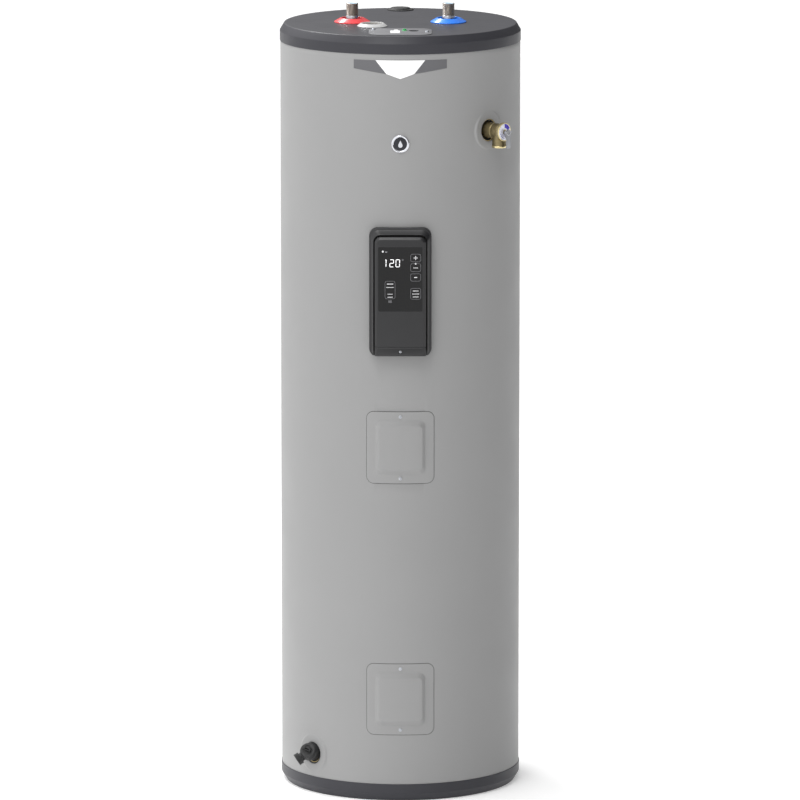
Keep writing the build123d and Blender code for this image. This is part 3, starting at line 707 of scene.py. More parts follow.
for node_name, node_object in frame["nodes"].items():
    node_object.data.materials.clear()
    node_object.data.materials.append(inner_finishes[slot_of[node_name]])
print(len(inner_finishes), "finishes on", len(frame["nodes"]), "nodes")

# %% [markdown]
# ## Jacket
# The jacket is one sheet rolled into a tube and locked together down the back. Round each
# valve the press has made a flat round pad, because a flat seal can't sit on a curve: the pad
# is nearly flush above and below the hole and stands about 3 mm proud at its sides. A tube with
# boolean cuts would shade badly near the holes, so the tube is a grid with square patches left
# out, and each patch is filled by rings that go from a round hole to the square's own points.

# %% Jacket tube
window_boxes = [
    (0.0, middle_mm(f"{side}_access_cover")[2], 12, 62.0) for side in ("upper", "lower")
] + [(0.0, middle_mm("control_housing")[2], 9, 30.0)]
hole_r = 23.4
pad_r, pad_fade, pad_rise = 37.5, 4.6, 0.3
patch_columns, patch_half = 10, 44.26
relief_angle = math.degrees(math.atan2(middle_mm("tp_bonnet")[0], -middle_mm("tp_bonnet")[1]))
relief_z = middle_mm("tp_bonnet")[2]
drain_hole_z = 87.6
valve_pads = [(relief_angle, relief_z), (-relief_angle, drain_hole_z)]
print("relief valve at", round(relief_angle, 1), "degrees,", round(relief_z, 1), "mm up")


def jacket_radius(angle):
    """Radius of the sheet: round, with the lock seam standing proud at the back. The seam is a
    plateau 0.8 mm high and 8 mm wide that falls away over 1.3 mm."""
    from_back = np.radians(180 - np.abs(angle)) * jacket_r
    return jacket_r + 0.8 * np.clip((5.3 - from_back) / 1.3, 0, 1)


def on_jacket(angle, height):
    """Points of the sheet at an angle from the front, in degrees, and a height."""
    turn = np.radians(angle)
    radius = jacket_radius(angle)
    return np.stack(np.broadcast_arrays(radius * np.sin(turn), -radius * np.cos(turn), height), axis=-1)


seam_angles = np.array([180, 179.1, 178.8, 178.55])
angles = np.unique(np.concatenate([np.arange(-178, 179), seam_angles, -seam_angles[1:]]).round(6))
fixed_rows = [jacket_low[2], jacket_high[2]]
for _, centre_z in valve_pads:
    fixed_rows += np.linspace(centre_z - patch_half, centre_z + patch_half, 2 * patch_columns + 1).tolist()
for _, centre_z, _, half in window_boxes:
    fixed_rows += [centre_z - half, centre_z + half]
spare_rows = [z for z in np.arange(60, 1600, 40) if np.abs(np.array(fixed_rows) - z).min() > 8]
heights = np.unique(np.array(fixed_rows + spare_rows).round(6))
tube = on_jacket(angles[None, :], heights[:, None])
tube_faces = grid_faces(len(heights), len(angles))
face_angle = np.repeat(((angles + np.roll(angles, -1)) / 2)[None], len(heights) - 1, 0).reshape(-1)
face_height = np.repeat((heights[:-1] + heights[1:])[:, None] / 2, len(angles), 1).reshape(-1)
keep = np.ones(len(tube_faces), bool)
for centre_angle, centre_z in valve_pads:
    keep &= ~(
        (
            np.abs(face_angle - round(centre_angle)) < patch_columns
        ) & (np.abs(face_height - centre_z) < patch_half)
    )
for centre_angle, centre_z, columns, half in window_boxes:
    keep &= ~((np.abs(face_angle - centre_angle) < columns) & (np.abs(face_height - centre_z) < half))
tube_faces = tube_faces[keep]
print(len(angles), "columns and", len(heights), "rows")

# %% Pads round the valve holes


def pad_patch(centre_angle, centre_z):
    """Rings from the hole's turned-in lip to the square left out of the tube. A ring point lies
    on the pad's plane near the hole, on the jacket past the pad, and between them the two are
    mixed by the smooth step 3t^2 - 2t^3."""
    side = np.linspace(-patch_columns, patch_columns, 2 * patch_columns + 1)[:-1]
    high = np.linspace(-patch_half, patch_half, 2 * patch_columns + 1)[:-1]
    edge_angle = np.concatenate([side, np.full(20, 10.0), -side, np.full(20, -10.0)]) + round(centre_angle)
    edge_z = np.concatenate([np.full(20, -patch_half), high, np.full(20, patch_half), -high]) + centre_z
    square = on_jacket(edge_angle, edge_z)
    turn = math.radians(centre_angle)
    seat = Seat((0, 0, centre_z), (math.sin(turn), -math.cos(turn), 0))
    offset = square - seat.origin
    spin = np.arctan2(offset @ seat.up, offset @ seat.across)
    lip = [(hole_r - 0.3, -4.0), (hole_r - 0.3, -1.2), (hole_r, -0.35), (hole_r + 0.8, 0.0)]
    flat = [(r, 0.0) for r in np.linspace(hole_r + 3, pad_r, 5)]
    fade = [(r, 0.0) for r in pad_r + pad_fade * np.linspace(0.15, 1, 8)]
    rings = np.array(lip + flat + fade)
    radius, depth = rings[:, :1], rings[:, 1:]
    across, up = radius * np.cos(spin), radius * np.sin(spin)
    plane = jacket_r + pad_rise + depth
    sheet = np.sqrt(jacket_r**2 - across**2)
    share = np.clip((radius - pad_r) / pad_fade, 0, 1)
    share = share**2 * (3 - 2 * share)
    points = seat.put(across, up, plane * (1 - share) + sheet * share)
    return np.concatenate([points, square[None]])


points, faces, first = [tube.reshape(-1, 3)], [tube_faces.tolist()], tube.size // 3
for centre_angle, centre_z in valve_pads:
    patch = pad_patch(centre_angle, centre_z)
    faces.append(grid_faces(*patch.shape[:2], first=first).tolist())
    points.append(patch.reshape(-1, 3))
    first += patch.size // 3
jacket_skin = build_mesh(
    "jacket_skin", np.vstack(points), sum(faces, []), crease=50, merge=0.02, away_from=(0, 0, 800)
)
finish_piece(jacket_skin, jacket_paint, "jacket", wall=0.6)

# %% [markdown]
# ## Cap and base
# Both are deep-drawn pans. What the eye catches is the rim: the press leaves a tight radius
# where the flat top turns down, and it draws one bright line. The rim is a turned ring with
# real radii; the flat top is cut out as a plate with holes, and shares the ring's edge points
# so that the two close into one skin.

# %% Base pan
_, pan_high = box_mm("base_pan")
pan_r = pan_high[0]
foot_r, edge_z, pan_sheet = pan_r - 10.2, 16.7, 1.0
outer = rounded(
    [(0, 0), (foot_r, 0), (pan_r, edge_z), (pan_r, pan_high[2] - 0.6), (pan_r - 0.5, pan_high[2])],
    [0, 2.5, 2.2, 0.3, 0],
)
inner = rounded(
    [
        (pan_r - 0.95, pan_high[2] - 0.3),
        (pan_r - 1.0, edge_z + 0.6),
        (foot_r - 0.6, pan_sheet),
        (0, pan_sheet),
    ],
    [0, 2.0, 2.0, 0],
)
base_shell = turned("base_shell", upright, np.vstack([outer, inner]), count=360)
finish_piece(base_shell, cap_paint, "base_pan")

# %% Cap rim
cap_low, cap_high = box_mm("top_cap")
cap_r, rim_r, cap_z = cap_high[0], cap_high[0] - 9.3, cap_high[2]
edge_z, plate_r = 1612.3, 238.0
outer = rounded(
    [(plate_r, cap_z), (rim_r, cap_z), (cap_r, edge_z), (cap_r, cap_low[2] + 0.5), (cap_r - 0.4, cap_low[2])],
    [0, 2.4, 2.2, 0.3, 0],
)
inner = rounded(
    [
        (cap_r - 0.95, cap_low[2] + 0.3),
        (cap_r - 0.98, edge_z - 0.6),
        (rim_r - 0.6, cap_z - 1),
        (plate_r, cap_z - 1),
    ],
    [0, 2.0, 1.4, 0],
)
rim_profile = np.vstack([outer, inner])
rim_count = 360
turn = np.linspace(0, 2 * math.pi, rim_count, endpoint=False)
rim = upright.put(
    rim_profile[:, :1] * np.cos(turn), rim_profile[:, :1] * np.sin(turn), rim_profile[:, 1:]
)

# %% Plate with holes


def filled(outlines, height, seat=upright):
    """Flat sheet inside the first outline and outside the others: points and triangles."""
    loops = [[Vector((x, y, 0)) for x, y in loop] for loop in outlines]
    flat = np.vstack(outlines)
    return seat.put(flat[:, 0], flat[:, 1], np.full(len(flat), height)), tessellate_polygon(loops)


def plate_with_holes(outlines, low, high):
    """Top, underside and hole walls of a flat plate; its outer wall is left to its rim."""
    points, faces, first = [], [], 0
    for height in (low, high):
        sheet, triangles = filled(outlines, height)
        faces += [[first + i for i in t] for t in triangles]
        points.append(sheet)
        first += len(sheet)
    for loop in outlines[1:]:
        wall = np.stack([upright.put(loop[:, 0], loop[:, 1], np.full(len(loop), z)) for z in (low, high)])
        faces += grid_faces(2, len(loop), first=first).tolist()
        points.append(wall.reshape(-1, 3))
        first += wall.size // 3
    return np.vstack(points), faces


pipe_x = middle_mm("cold_ring")[0]
anode_x, anode_y = middle_mm("anode_ring")[:2]
plug_y = middle_mm("foam_port_plug")[1]
box_w, box_d, _ = box_mm("junction_box")[1] - box_mm("junction_box")[0]
box_y = middle_mm("junction_box")[1]
holes = [
    circle(27, 72, (-pipe_x, 0)),
    circle(27, 72, (pipe_x, 0)),
    circle(24, 64, (anode_x, anode_y)),
    circle(21, 48, (0, plug_y)),
    rounded_box(box_w - 2, box_d - 2, 21, 8, (0, box_y)),
]
plate_points, plate_faces = plate_with_holes([circle(plate_r, rim_count)] + holes, cap_z - 1, cap_z)
rim_faces = grid_faces(len(rim_profile), rim_count, first=len(plate_points)).tolist()
cap_shell = build_mesh(
    "cap_shell", np.vstack([plate_points, rim.reshape(-1, 3)]), plate_faces + rim_faces, merge=0.01
)
finish_piece(cap_shell, cap_paint, "top_cap")

# %% [markdown]
# ## Pipe connections
# Each nipple is zinc-plated pipe with taper thread cut on its upper end: 14 threads to the
# inch, so 1.81 mm pitch. A bump map would leave the outline smooth, so the thread is real: the
# radius follows a V wave whose phase turns with the angle, and dies away at both ends.

# %% Nipples with real thread
pitch = 25.4 / 14
thread_depth = 0.95
nipple_count = 96


def threaded(name, seat, start, length, outer_r, inner_r, taper=0.0, depth=thread_depth, pitch=pitch):
    """Threaded tube end: radius = crest - depth * V(distance / pitch - angle / turn), where V
    rises and falls once a pitch, times a fade of one pitch at both ends."""
    rows = int(length / pitch * 8) + 1
    along = np.linspace(0, length, rows)[:, None]
    turn = np.linspace(0, 2 * math.pi, nipple_count, endpoint=False)[None, :]
    phase = along / pitch - turn / (2 * math.pi)
    wave = np.abs(2 * (phase - np.floor(phase + 0.5)))
    fade = np.clip(np.minimum(along, length - along) / pitch, 0, 1)
    radius = outer_r - taper * along / length - depth * wave * fade
    skin = seat.put(radius * np.cos(turn), radius * np.sin(turn), start + along + 0 * turn)
    ends = []
    for r, z in ((outer_r - taper - 0.9, start + length + 0.6), (inner_r + 0.3, start + length + 0.6)):
        ends.append(seat.put(r * np.cos(turn[0]), r * np.sin(turn[0]), np.full(nipple_count, z)))
    bore = [
        seat.put(inner_r * np.cos(turn[0]), inner_r * np.sin(turn[0]), np.full(nipple_count, z))
        for z in (start + length + 0.2, start)
    ]
    return grid_piece(
        name, np.concatenate([skin, np.stack(ends + bore)]), caps=False, wrap_rows=True, crease=40
    )


nipple_top = box_mm("hot_nipple")[1][2]
thread_len, pipe_r, bore_r = 26.0, 13.335, 10.45
for side, name in ((-1, "hot"), (1, "cold")):
    seat = Seat((side * pipe_x, 0, 0), (0, 0, 1), up=(0, 1, 0))
    foot = box_mm(f"{name}_nipple")[0][2]
    shank_top = nipple_top - thread_len
    shank = turned(
        f"{name}_shank",
        seat,
        rounded(
            [
                (bore_r, foot),
                (12.7, foot),
                (pipe_r, foot + 17),
                (pipe_r, shank_top),
                (bore_r, shank_top + 0.5),
            ],
            [0, 0.5, 0.5, 0.9, 0],
        ),
        count=nipple_count,
        closed=True,
    )
    finish_piece(shank, zinc_steel, f"{name}_nipple")
    thread = threaded(f"{name}_thread", seat, shank_top - 0.2, thread_len - 0.4, 12.9, bore_r)
    trim(thread, cut_thread, f"{name}_nipple")
    liner = turned(
        f"{name}_liner",
        seat,
        rounded(
            [
                (8.6, foot),
                (bore_r - 0.02, foot),
                (bore_r - 0.02, nipple_top - 2.2),
                (bore_r + 0.9, nipple_top - 1.0),
                (bore_r + 0.4, nipple_top),
                (8.6, nipple_top - 0.6),
            ],
            [0, 0, 0, 0.3, 0.5, 0.6],
            closed=True,
        ),
        count=72,
        closed=True,
    )
    finish_piece(liner, liner_plastic, f"{name}_nipple_liner")

# %% [markdown]
# The coloured rings are thin-walled polypropylene cones that snap into the cap and tell hot
# from cold. Each has a rolled foot, a straight flank and a lip round its opening. The anode
# under the pale ring has one too.

# %% Trim rings


def trim_ring(name, node, material):
    """Snap-in cone: foot, flank and rolled lip outside, and the same wall inside, turned round
    the node's own axis."""
    low, high = box_mm(node)
    x, y, _ = (low + high) / 2
    r, top = (high[0] - low[0]) / 2, high[2]
    mouth = r * (22.5 / 38.0) if "anode" not in node else r * (21.9 / 31.8)
    seat = Seat((x, y, 0), (0, 0, 1), up=(0, 1, 0))
    corners = [
        (r - 1.6, low[2]),
        (r, low[2]),
        (r, low[2] + 1.7),
        (mouth + 2.6, top),
        (mouth, top),
        (mouth, top - 4.5),
        (mouth + 1.4, top - 4.5),
        (mouth + 1.6, top - 1.9),
        (r - 2.2, low[2] + 1.2),
    ]
    profile = rounded(corners, [0.3, 0.5, 1.0, 1.3, 0.7, 0.3, 0.3, 1.0, 0.4], closed=True)
    return finish_piece(turned(name, seat, profile, count=96, closed=True), material, node)


trim_ring("hot_trim_ring", "hot_ring", red_plastic)
trim_ring("cold_trim_ring", "cold_ring", blue_plastic)
trim_ring("anode_trim_ring", "anode_ring", pale_plastic)

# %% [markdown]
# ## Small parts on the top
# The foam is poured through a hole at the back of the cap, which a soft black plug closes. In
# front, a painted plate covers the wiring box. It has a knockout for the conduit, two
# hex-washer screws, a green earth screw and a blank white label.

# %% Foam plug
plug_low, plug_high = box_mm("foam_port_plug")
plug_seat = Seat((0, plug_y, 0), (0, 0, 1), up=(0, 1, 0))
plug_profile = rounded(
    [
        (0, plug_low[2]),
        (20.2, plug_low[2]),
        (20.2, cap_z),
        (28.5, cap_z),
        (28.5, cap_z + 2),
        (22.0, cap_z + 2.2),
        (20.0, plug_high[2]),
        (0, plug_high[2]),
    ],
    [0, 1, 0, 0.3, 0.9, 0.8, 1.4, 0],
)
finish_piece(turned("foam_plug", plug_seat, plug_profile, count=64), black_foam_and_gap_shade, "foam_port_plug")

# %% Screws


def star(arm, half_width, count=64):
    """Outline of a cross: at each angle, the farther of the two crossing bars' edges."""
    turn = np.linspace(0, 2 * math.pi, count, endpoint=False) + 1e-4
    c, s = np.abs(np.cos(turn)), np.abs(np.sin(turn))
    radius = np.maximum(np.minimum(arm / c, half_width / s), np.minimum(half_width / c, arm / s))
    return np.column_stack([radius * np.cos(turn), radius * np.sin(turn)])


def polygon(radius, sides, count=64):
    """Regular polygon outline with count points: radius / cos(angle from the nearest flat)."""
    turn = np.linspace(0, 2 * math.pi, count, endpoint=False)
    part = 2 * math.pi / sides
    away = (turn + part / 2) % part - part / 2
    r = radius / np.cos(away)
    return np.column_stack([r * np.cos(turn), r * np.sin(turn)])


def screw_head(name, seat, base, height, head_r, hex_r=None, drive=2.6):
    """Screw head from its seat up: a washer flange, a hex or round head and a cross recess.
    Outlines of the same number of points are lofted from the rim to the recess's floor."""
    side = circle(head_r, 64) if hex_r is None else polygon(hex_r, 6)
    top = base + height
    levels = [(circle(head_r - 0.3, 64), base - 0.4)]
    if hex_r is None:
        levels += [
            (circle(head_r, 64), base + 0.1),
            (circle(head_r, 64), base + height * 0.35),
            (circle(head_r * 0.93, 64), base + height * 0.7),
            (circle(head_r * 0.75, 64), top - 0.05),
        ]
    else:
        levels += [
            (circle(head_r, 64), base + 0.1),
            (circle(head_r, 64), base + 0.5),
            (side * 1.04, base + 0.75),
            (side, base + 1.0),
            (side, top - 0.35),
            (side * 0.9, top),
        ]
    levels += [
        (star(drive, 0.55), top), (star(drive, 0.55) * 0.85, top - 0.4), (star(drive * 0.5, 0.4), top - 1.3)
    ]
    return lofted(name, seat, levels, crease=28)


cover_low, cover_high = box_mm("junction_cover")
cover_size = cover_high - cover_low
cover_y = (cover_low[1] + cover_high[1]) / 2
cover_top = cover_high[2]
cover_screw_spots = [(-56, -141), (56, -178)]
heads = [
    screw_head(
        f"cover_screw_{i}", Seat((x, y, 0), (0, 0, 1), up=(0.3 + i, 1, 0)), cover_top, 2.55, 4.2, hex_r=3.1
    )
    for i, (x, y) in enumerate(cover_screw_spots)
]
shanks = [
    turned(
        f"cover_screw_shank_{i}",
        Seat((x, y, 0), (0, 0, 1), up=(0, 1, 0)),
        [(1.9, cap_z - 7), (1.9, cover_top + 0.3)],
        count=24,
    )
    for i, (x, y) in enumerate(cover_screw_spots)
]
finish_piece(joined("junction_cover_screw_heads", heads + shanks), zinc_steel, "junction_cover_screws")

# %% Junction cover
knock_x, knock_y, knock_r = 28.0, -160.0, 11.1
cover_outline = rounded_box(cover_size[0], cover_size[1], 27, 12, (0, cover_y))
shrink = (cover_outline - [0, cover_y]) * (1 - 1.2 / cover_size[0]) + [0, cover_y]
rim_levels = [(shrink, cover_low[2]), (cover_outline, cover_low[2] + 0.3), (cover_outline, cover_top - 0.5)]
ease = (cover_outline - [0, cover_y]) * (1 - 0.3 / cover_size[0]) + [0, cover_y]
rim_levels += [(ease, cover_top - 0.15), (shrink, cover_top)]
rim_grid = np.stack(
    [upright.put(loop[:, 0], loop[:, 1], np.full(len(loop), z)) for loop, z in rim_levels]
)
knock = circle(knock_r, 64, (knock_x, knock_y))
plate_points, plate_faces = plate_with_holes([shrink, knock], cover_low[2], cover_top)
rim_faces = grid_faces(*rim_grid.shape[:2], first=len(plate_points)).tolist()
junction_plate = build_mesh(
    "junction_plate", np.vstack([plate_points, rim_grid.reshape(-1, 3)]), plate_faces + rim_faces, merge=0.01
)
finish_piece(junction_plate, cover_paint, "junction_cover")

# %% Label and earth screw
label_parts = [
    extruded(
        "label_a", upright, rounded_box(20, 42, 1.5, 4, (-11, -178)), cover_top, cover_top + 0.12, edge=0.05
    ),
    extruded(
        "label_b", upright, rounded_box(8, 16, 1.5, 4, (-9, -149.5)), cover_top, cover_top + 0.12, edge=0.05
    ),
]
trim(joined("blank_label", label_parts), label_white, "junction_cover")

earth_x, earth_y, _ = middle_mm("ground_screw")
earth_seat = Seat((earth_x, earth_y, 0), (0, 0, 1), up=(0, 1, 0))
earth = screw_head("earth_head", earth_seat, cover_top, 3.4, 6.2, hex_r=3.6)
finish_piece(earth, green_enamel, "ground_screw")
ring = rounded([(4.2, 0.45), (5.4, 0.45), (5.4, 0.62), (4.2, 0.62)], 0.05, 2, closed=True) + [0, cover_top]
trim(turned("earth_mark", earth_seat, ring, closed=True), label_white, "ground_screw")

# %% [markdown]
# ## Access covers
# Two pressed covers close the openings to the heating elements. Each is a thin curved plate
# with a raised box in the middle. The cross-section is drawn once, from the plate's edge to
# the face of the box, and carried round outlines that shrink from one to the other, so the
# corners blend as they do on a pressing.

# %% Access covers


def with_side_points(outline, between=24):
    """Adds points along the four straight sides of a rounded box, so that they can bend. Each is
    a mix of one corner's last point and the next corner's first."""
    corners = outline.reshape(4, -1, 2)
    ends, starts = corners[:, -1:], np.roll(corners[:, :1], -1, axis=0)
    share = np.linspace(0, 1, between + 2)[1:-1].reshape(1, -1, 1)
    return np.concatenate([corners, ends * (1 - share) + starts * share], axis=1).reshape(-1, 2)


def wrapped(outline, radius):
    """Outline points (arc length, height) laid on a cylinder: angle = length / jacket radius."""
    turn = outline[:, 0] / jacket_r
    return np.column_stack([radius * np.sin(turn), -radius * np.cos(turn), outline[:, 1]])


def pressed_cover(name, side, plate=(143.0, 152.5, 15.0), foot=(104.0, 112.0, 12.0), face=(91.0, 95.0, 9.0)):
    """Curved pressing: rounded boxes of shrinking size at growing radius, then a face filled by
    rings that shrink to the middle so that it follows the jacket's curve."""
    centre = middle_mm(f"{side}_access_cover")
    low, high = box_mm(f"{side}_access_cover")
    rise = -low[1] - jacket_r
    sheet = 0.8
    plate_w, plate_h, plate_c = plate
    levels = [
        (plate, 0.0, -0.2),
        (plate, 0.0, sheet - 0.3),
        (plate, 0.35, sheet),
        (plate, 2.5, sheet),
        (foot, -3.0, sheet),
        (foot, -1.0, sheet + 0.05),
        (foot, -0.3, sheet + 0.3),
        (foot, 0.5, sheet + 1.1),
        (face, -1.2, rise - 1.5),
        (face, -0.4, rise - 0.6),
        (face, 0.5, rise - 0.15),
        (face, 1.4, rise),
    ]
    rings = []
    for (w, h, c), inset, out in levels:
        outline = rounded_box(w - 2 * inset, h - 2 * inset, max(c - inset, 1.0), 10, (0, centre[2]))
        rings.append(wrapped(with_side_points(outline), jacket_r + out))
    last = with_side_points(rounded_box(face[0] - 2.8, face[1] - 2.8, face[2] - 1.4, 10))
    for share in np.linspace(1, 0, 9)[1:]:
        rings.append(wrapped(last * share + [0, centre[2]], jacket_r + rise))
    points = np.stack(rings)
    piece = grid_piece(name, points, caps=False, merge=0.01, away_from=(0, 0, centre[2]), crease=45)
    finish_piece(piece, jacket_paint, f"{side}_access_cover", wall=0.7)
    # a thin dark strip round the plate's edge is painted shade, standing in for the shadowed gap between the
    # plate and the jacket
    gap_shade_strip = []
    for width, out in ((0.75, 0.05), (0.75, 0.4), (-0.6, 0.4), (-0.6, 0.05)):
        outline = rounded_box(plate_w + 2 * width, plate_h + 2 * width, plate_c + width, 10, (0, centre[2]))
        gap_shade_strip.append(wrapped(with_side_points(outline), jacket_r + out))
    trim(grid_piece(f"{side}_gasket", np.stack(gap_shade_strip), wrap_rows=True), black_foam_and_gap_shade, f"{side}_access_cover")


cover_heads = []
for side in ("upper", "lower"):
    pressed_cover(f"{side}_element_cover", side)
    centre_z = middle_mm(f"{side}_access_cover")[2]
    for offset in (-65.8, 65.8):
        seat = Seat((0, 0, centre_z + offset), (0, -1, 0), up=(0.4, 0, 1))
        cover_heads.append(
            screw_head(f"head_{len(cover_heads)}", seat, jacket_r + 0.8, 2.3, 3.5, hex_r=2.6, drive=1.7)
        )
        cover_heads.append(
            turned(f"shank_{len(cover_heads)}", seat, [(1.9, jacket_r - 5), (1.9, jacket_r + 1.0)], count=20)
        )
finish_piece(joined("element_cover_screws", cover_heads), zinc_steel, "access_cover_screws")

# %% [markdown]
# ## Control
# The control sits in a moulded arch. From outside in, the arch has a flat lip, a slope that
# rises towards the viewer, and a wall down into the pocket. One way would be a box with
# bevels, but the slope is wider at the top than at the sides. So the arch is a surface
# between two curves, the outer edge and the pocket's edge, with the same number of points on
# each, and a profile is carried across from one to the other.

# %% Arch round the control
house_low, house_high = box_mm("control_housing")
house_w = house_high[0] - house_low[0]
lip_out, arch_out = 263.6, -house_low[1]
door_low, door_high = box_mm("control_cover")
pocket_half, pocket_top, pocket_back, pocket_corner = 56.3, 1214.4, 257.0, 15.5
outer_half, outer_corner = house_w / 2, 18.0
bottom_z, top_z = house_low[2], house_high[2]


def arch_curves(leg=7, side=26, corner=12, top=10):
    """Outer and pocket edges of the arch as matching curves from the left foot over the top to
    the right foot. They meet in a point where the pocket's side cuts the rounded corner."""
    arc_centre = np.array([-(outer_half - outer_corner), bottom_z + outer_corner])
    drop = math.sqrt(outer_corner**2 - (pocket_half + arc_centre[0]) ** 2)
    tip = np.array([-pocket_half, arc_centre[1] - drop])
    start = math.atan2(-drop, -(pocket_half + arc_centre[0]))
    foot = np.linspace(start, -math.pi, leg)
    outer_leg = arc_centre + outer_corner * np.column_stack([np.cos(foot), np.sin(foot)])
    inner_leg = np.column_stack([np.full(leg, -pocket_half), np.linspace(tip[1], arc_centre[1], leg)])
    bend = np.linspace(math.pi, math.pi / 2, corner)

    def rise_and_turn(half, top_edge, radius):
        straight = np.linspace(arc_centre[1], top_edge - radius, side + 1)[1:]
        bent = np.array(
            [-(half - radius), top_edge - radius]
        ) + radius * np.column_stack([np.cos(bend), np.sin(bend)])
        across = np.column_stack([np.linspace(-(half - radius), 0, top + 1)[1:], np.full(top, top_edge)])
        return np.vstack([np.column_stack([np.full(side, -half), straight]), bent[1:], across])

    outer = np.vstack([outer_leg, rise_and_turn(outer_half, top_z, outer_corner)])
    inner = np.vstack([inner_leg, rise_and_turn(pocket_half, pocket_top, pocket_corner)])
    mirror = np.array([-1, 1])
    return [np.vstack([half, (half * mirror)[::-1][1:]]) for half in (outer, inner)]


outer_edge, pocket_edge = arch_curves()
gap = np.linalg.norm(outer_edge - pocket_edge, axis=1)[None, :]
# each step of the profile: distance in from the outer edge, share of the rest, distance out
lip_width = np.minimum(4.4, gap * 0.5)
slope = gap - lip_width
full = np.minimum(1, gap / 8.9)
steps = [
    (0 * gap, 240 + 0 * gap),
    (0 * gap, lip_out - 1.6 + 0 * gap),
    (0.1 * lip_width, lip_out - 0.5 + 0 * gap),
    (0.3 * lip_width, lip_out + 0 * gap),
    (0.9 * lip_width, lip_out + 0.1 + 0 * gap),
    (lip_width + 0.06 * slope, lip_out + 0.7 * full),
    (lip_width + 0.86 * slope, lip_out + (arch_out - lip_out - 0.8) * full),
    (lip_width + 0.93 * slope, lip_out + (arch_out - lip_out - 0.15) * full),
    (gap - 0.4 * full, lip_out + (arch_out - lip_out) * full),
    (gap - 0.05 * full, lip_out + (arch_out - lip_out - 0.5) * full),
    (gap + 0 * gap, lip_out + (arch_out - lip_out - 1.2) * full),
    (gap + 0 * gap, pocket_back + 0 * gap),
]
distance = np.stack([s[0][0] for s in steps])[..., None]
out = np.stack([s[1][0] for s in steps])
share = distance / np.maximum(gap[0][None, :, None], 1e-6)
across_up = outer_edge[None] * (1 - share) + pocket_edge[None] * share
arch_points = front.put(across_up[..., 0], across_up[..., 1], out)
arch = grid_piece(
    "control_arch_face", arch_points, caps=False, wrap_columns=False, away_from=(0, -200, 1090), crease=50
)

floor_levels = [
    (
        rounded_box(
            pocket_half * 2 + 2, pocket_top - bottom_z - 6, 14, 8, (0, (pocket_top + bottom_z + 6) / 2)
        ),
        z,
    )
    for z in (pocket_back - 8, pocket_back)
]
back_box = rounded_box(house_w - 0.4, top_z - bottom_z - 0.4, outer_corner, 12, (0, (top_z + bottom_z) / 2))
back_block = lofted("control_back", front, [(back_box, 240), (back_box, pocket_back - 0.5)])
arch_body = joined("control_arch", [arch, back_block])
finish_piece(arch_body, control_plastic, "control_housing")
# the pocket's floor is painted shade: darker than the arch, because the back of the gap lies in shade
pocket_floor = lofted("pocket_floor", front, floor_levels)
trim(pocket_floor, pocket_shade_plastic, "control_housing")

# %% [markdown]
# The cover that fills the arch is one moulding with sloped edges, wider at the top. A groove
# sets off its lowest band, where the screw is. It is lofted from outlines whose sides, top and
# bottom are drawn in by different amounts.

# %% Control cover
door_half = door_high[0]
door_out = -box_mm("control_cover")[0][1]
door_bottom, door_top = door_low[2], door_high[2]
band_top, groove = 978.0, 0.5


def door_outline(half, low_z, high_z, top_corner, bottom_corner):
    """Outline of a panel with one radius on its top corners and another below."""
    corners = [(half, low_z), (half, high_z), (-half, high_z), (-half, low_z)]
    return rounded(corners, [bottom_corner, top_corner, top_corner, bottom_corner], 10, closed=True)


def door_level(side, top, bottom, low_z=door_bottom, high_z=door_top, corner=13.0, foot=1.2):
    """The panel's outline drawn in by side, top and bottom."""
    return door_outline(
        door_half - side, low_z + bottom, high_z - top, max(
            corner - (side + top) / 2, 0.6
        ), max(foot - bottom / 2, 0.4)
    )


main_low = band_top + groove
upper_panel = lofted(
    "upper_panel",
    front,
    [
        (door_level(0, 0, 0, low_z=main_low), pocket_back + 1),
        (door_level(0, 0, 0, low_z=main_low), door_out - 3.4),
        (door_level(0.25, 0.3, 0.1, low_z=main_low), door_out - 2.9),
        (door_level(4.1, 5.6, 0.5, low_z=main_low), door_out - 0.45),
        (door_level(4.6, 6.2, 0.9, low_z=main_low), door_out - 0.12),
        (door_level(5.3, 7.0, 1.6, low_z=main_low), door_out),
    ],
    crease=60,
)
lower_band = lofted(
    "lower_band",
    front,
    [
        (door_level(0, 0, 0, high_z=band_top, corner=0.8), pocket_back + 1),
        (door_level(0, 0, 0, high_z=band_top, corner=0.8), door_out - 3.2),
        (door_level(0.25, 0.2, 0.3, high_z=band_top, corner=0.8), door_out - 2.6),
        (door_level(4.1, 2.0, 1.6, high_z=band_top, corner=0.8), door_out - 0.4),
        (door_level(4.9, 2.6, 2.4, high_z=band_top, corner=0.8), door_out),
    ],
    crease=60,
)
backing = lofted(
    "backing",
    front,
    [
        (door_outline(door_half - 2, door_bottom + 2, door_top - 4, 10, 1), z)
        for z in (pocket_back + 1, door_out - 1.6)
    ],
)
finish_piece(joined("control_door", [upper_panel, lower_band, backing]), control_plastic, "control_cover")

# %% Touch window and its print
lens_low, lens_high = box_mm("control_lens")
lens_size = lens_high - lens_low
lens_middle = (lens_low + lens_high) / 2
lens_out = door_out + 0.12


def lens_outline(inset=0.0):
    """Outline of the touch window."""
    return rounded_box(
        lens_size[0] - 2 * inset, lens_size[2] - 2 * inset, 2.0 - inset, 8, (0, lens_middle[2])
    )


touch_window = lofted(
    "touch_window",
    front,
    [(lens_outline(), door_out - 1), (lens_outline(), lens_out - 0.08), (lens_outline(0.1), lens_out)],
)
finish_piece(touch_window, touch_film, "control_lens")

# %% [markdown]
# The window's marks are printed behind the film: key outlines, plain bars where words would
# be, plus and minus signs, and the set temperature in lit segments. They are very thin solids
# laid on the film, since a texture would blur at this size.

# %% Print on the window
ink_low, ink_high = lens_out - 0.02, lens_out + 0.04


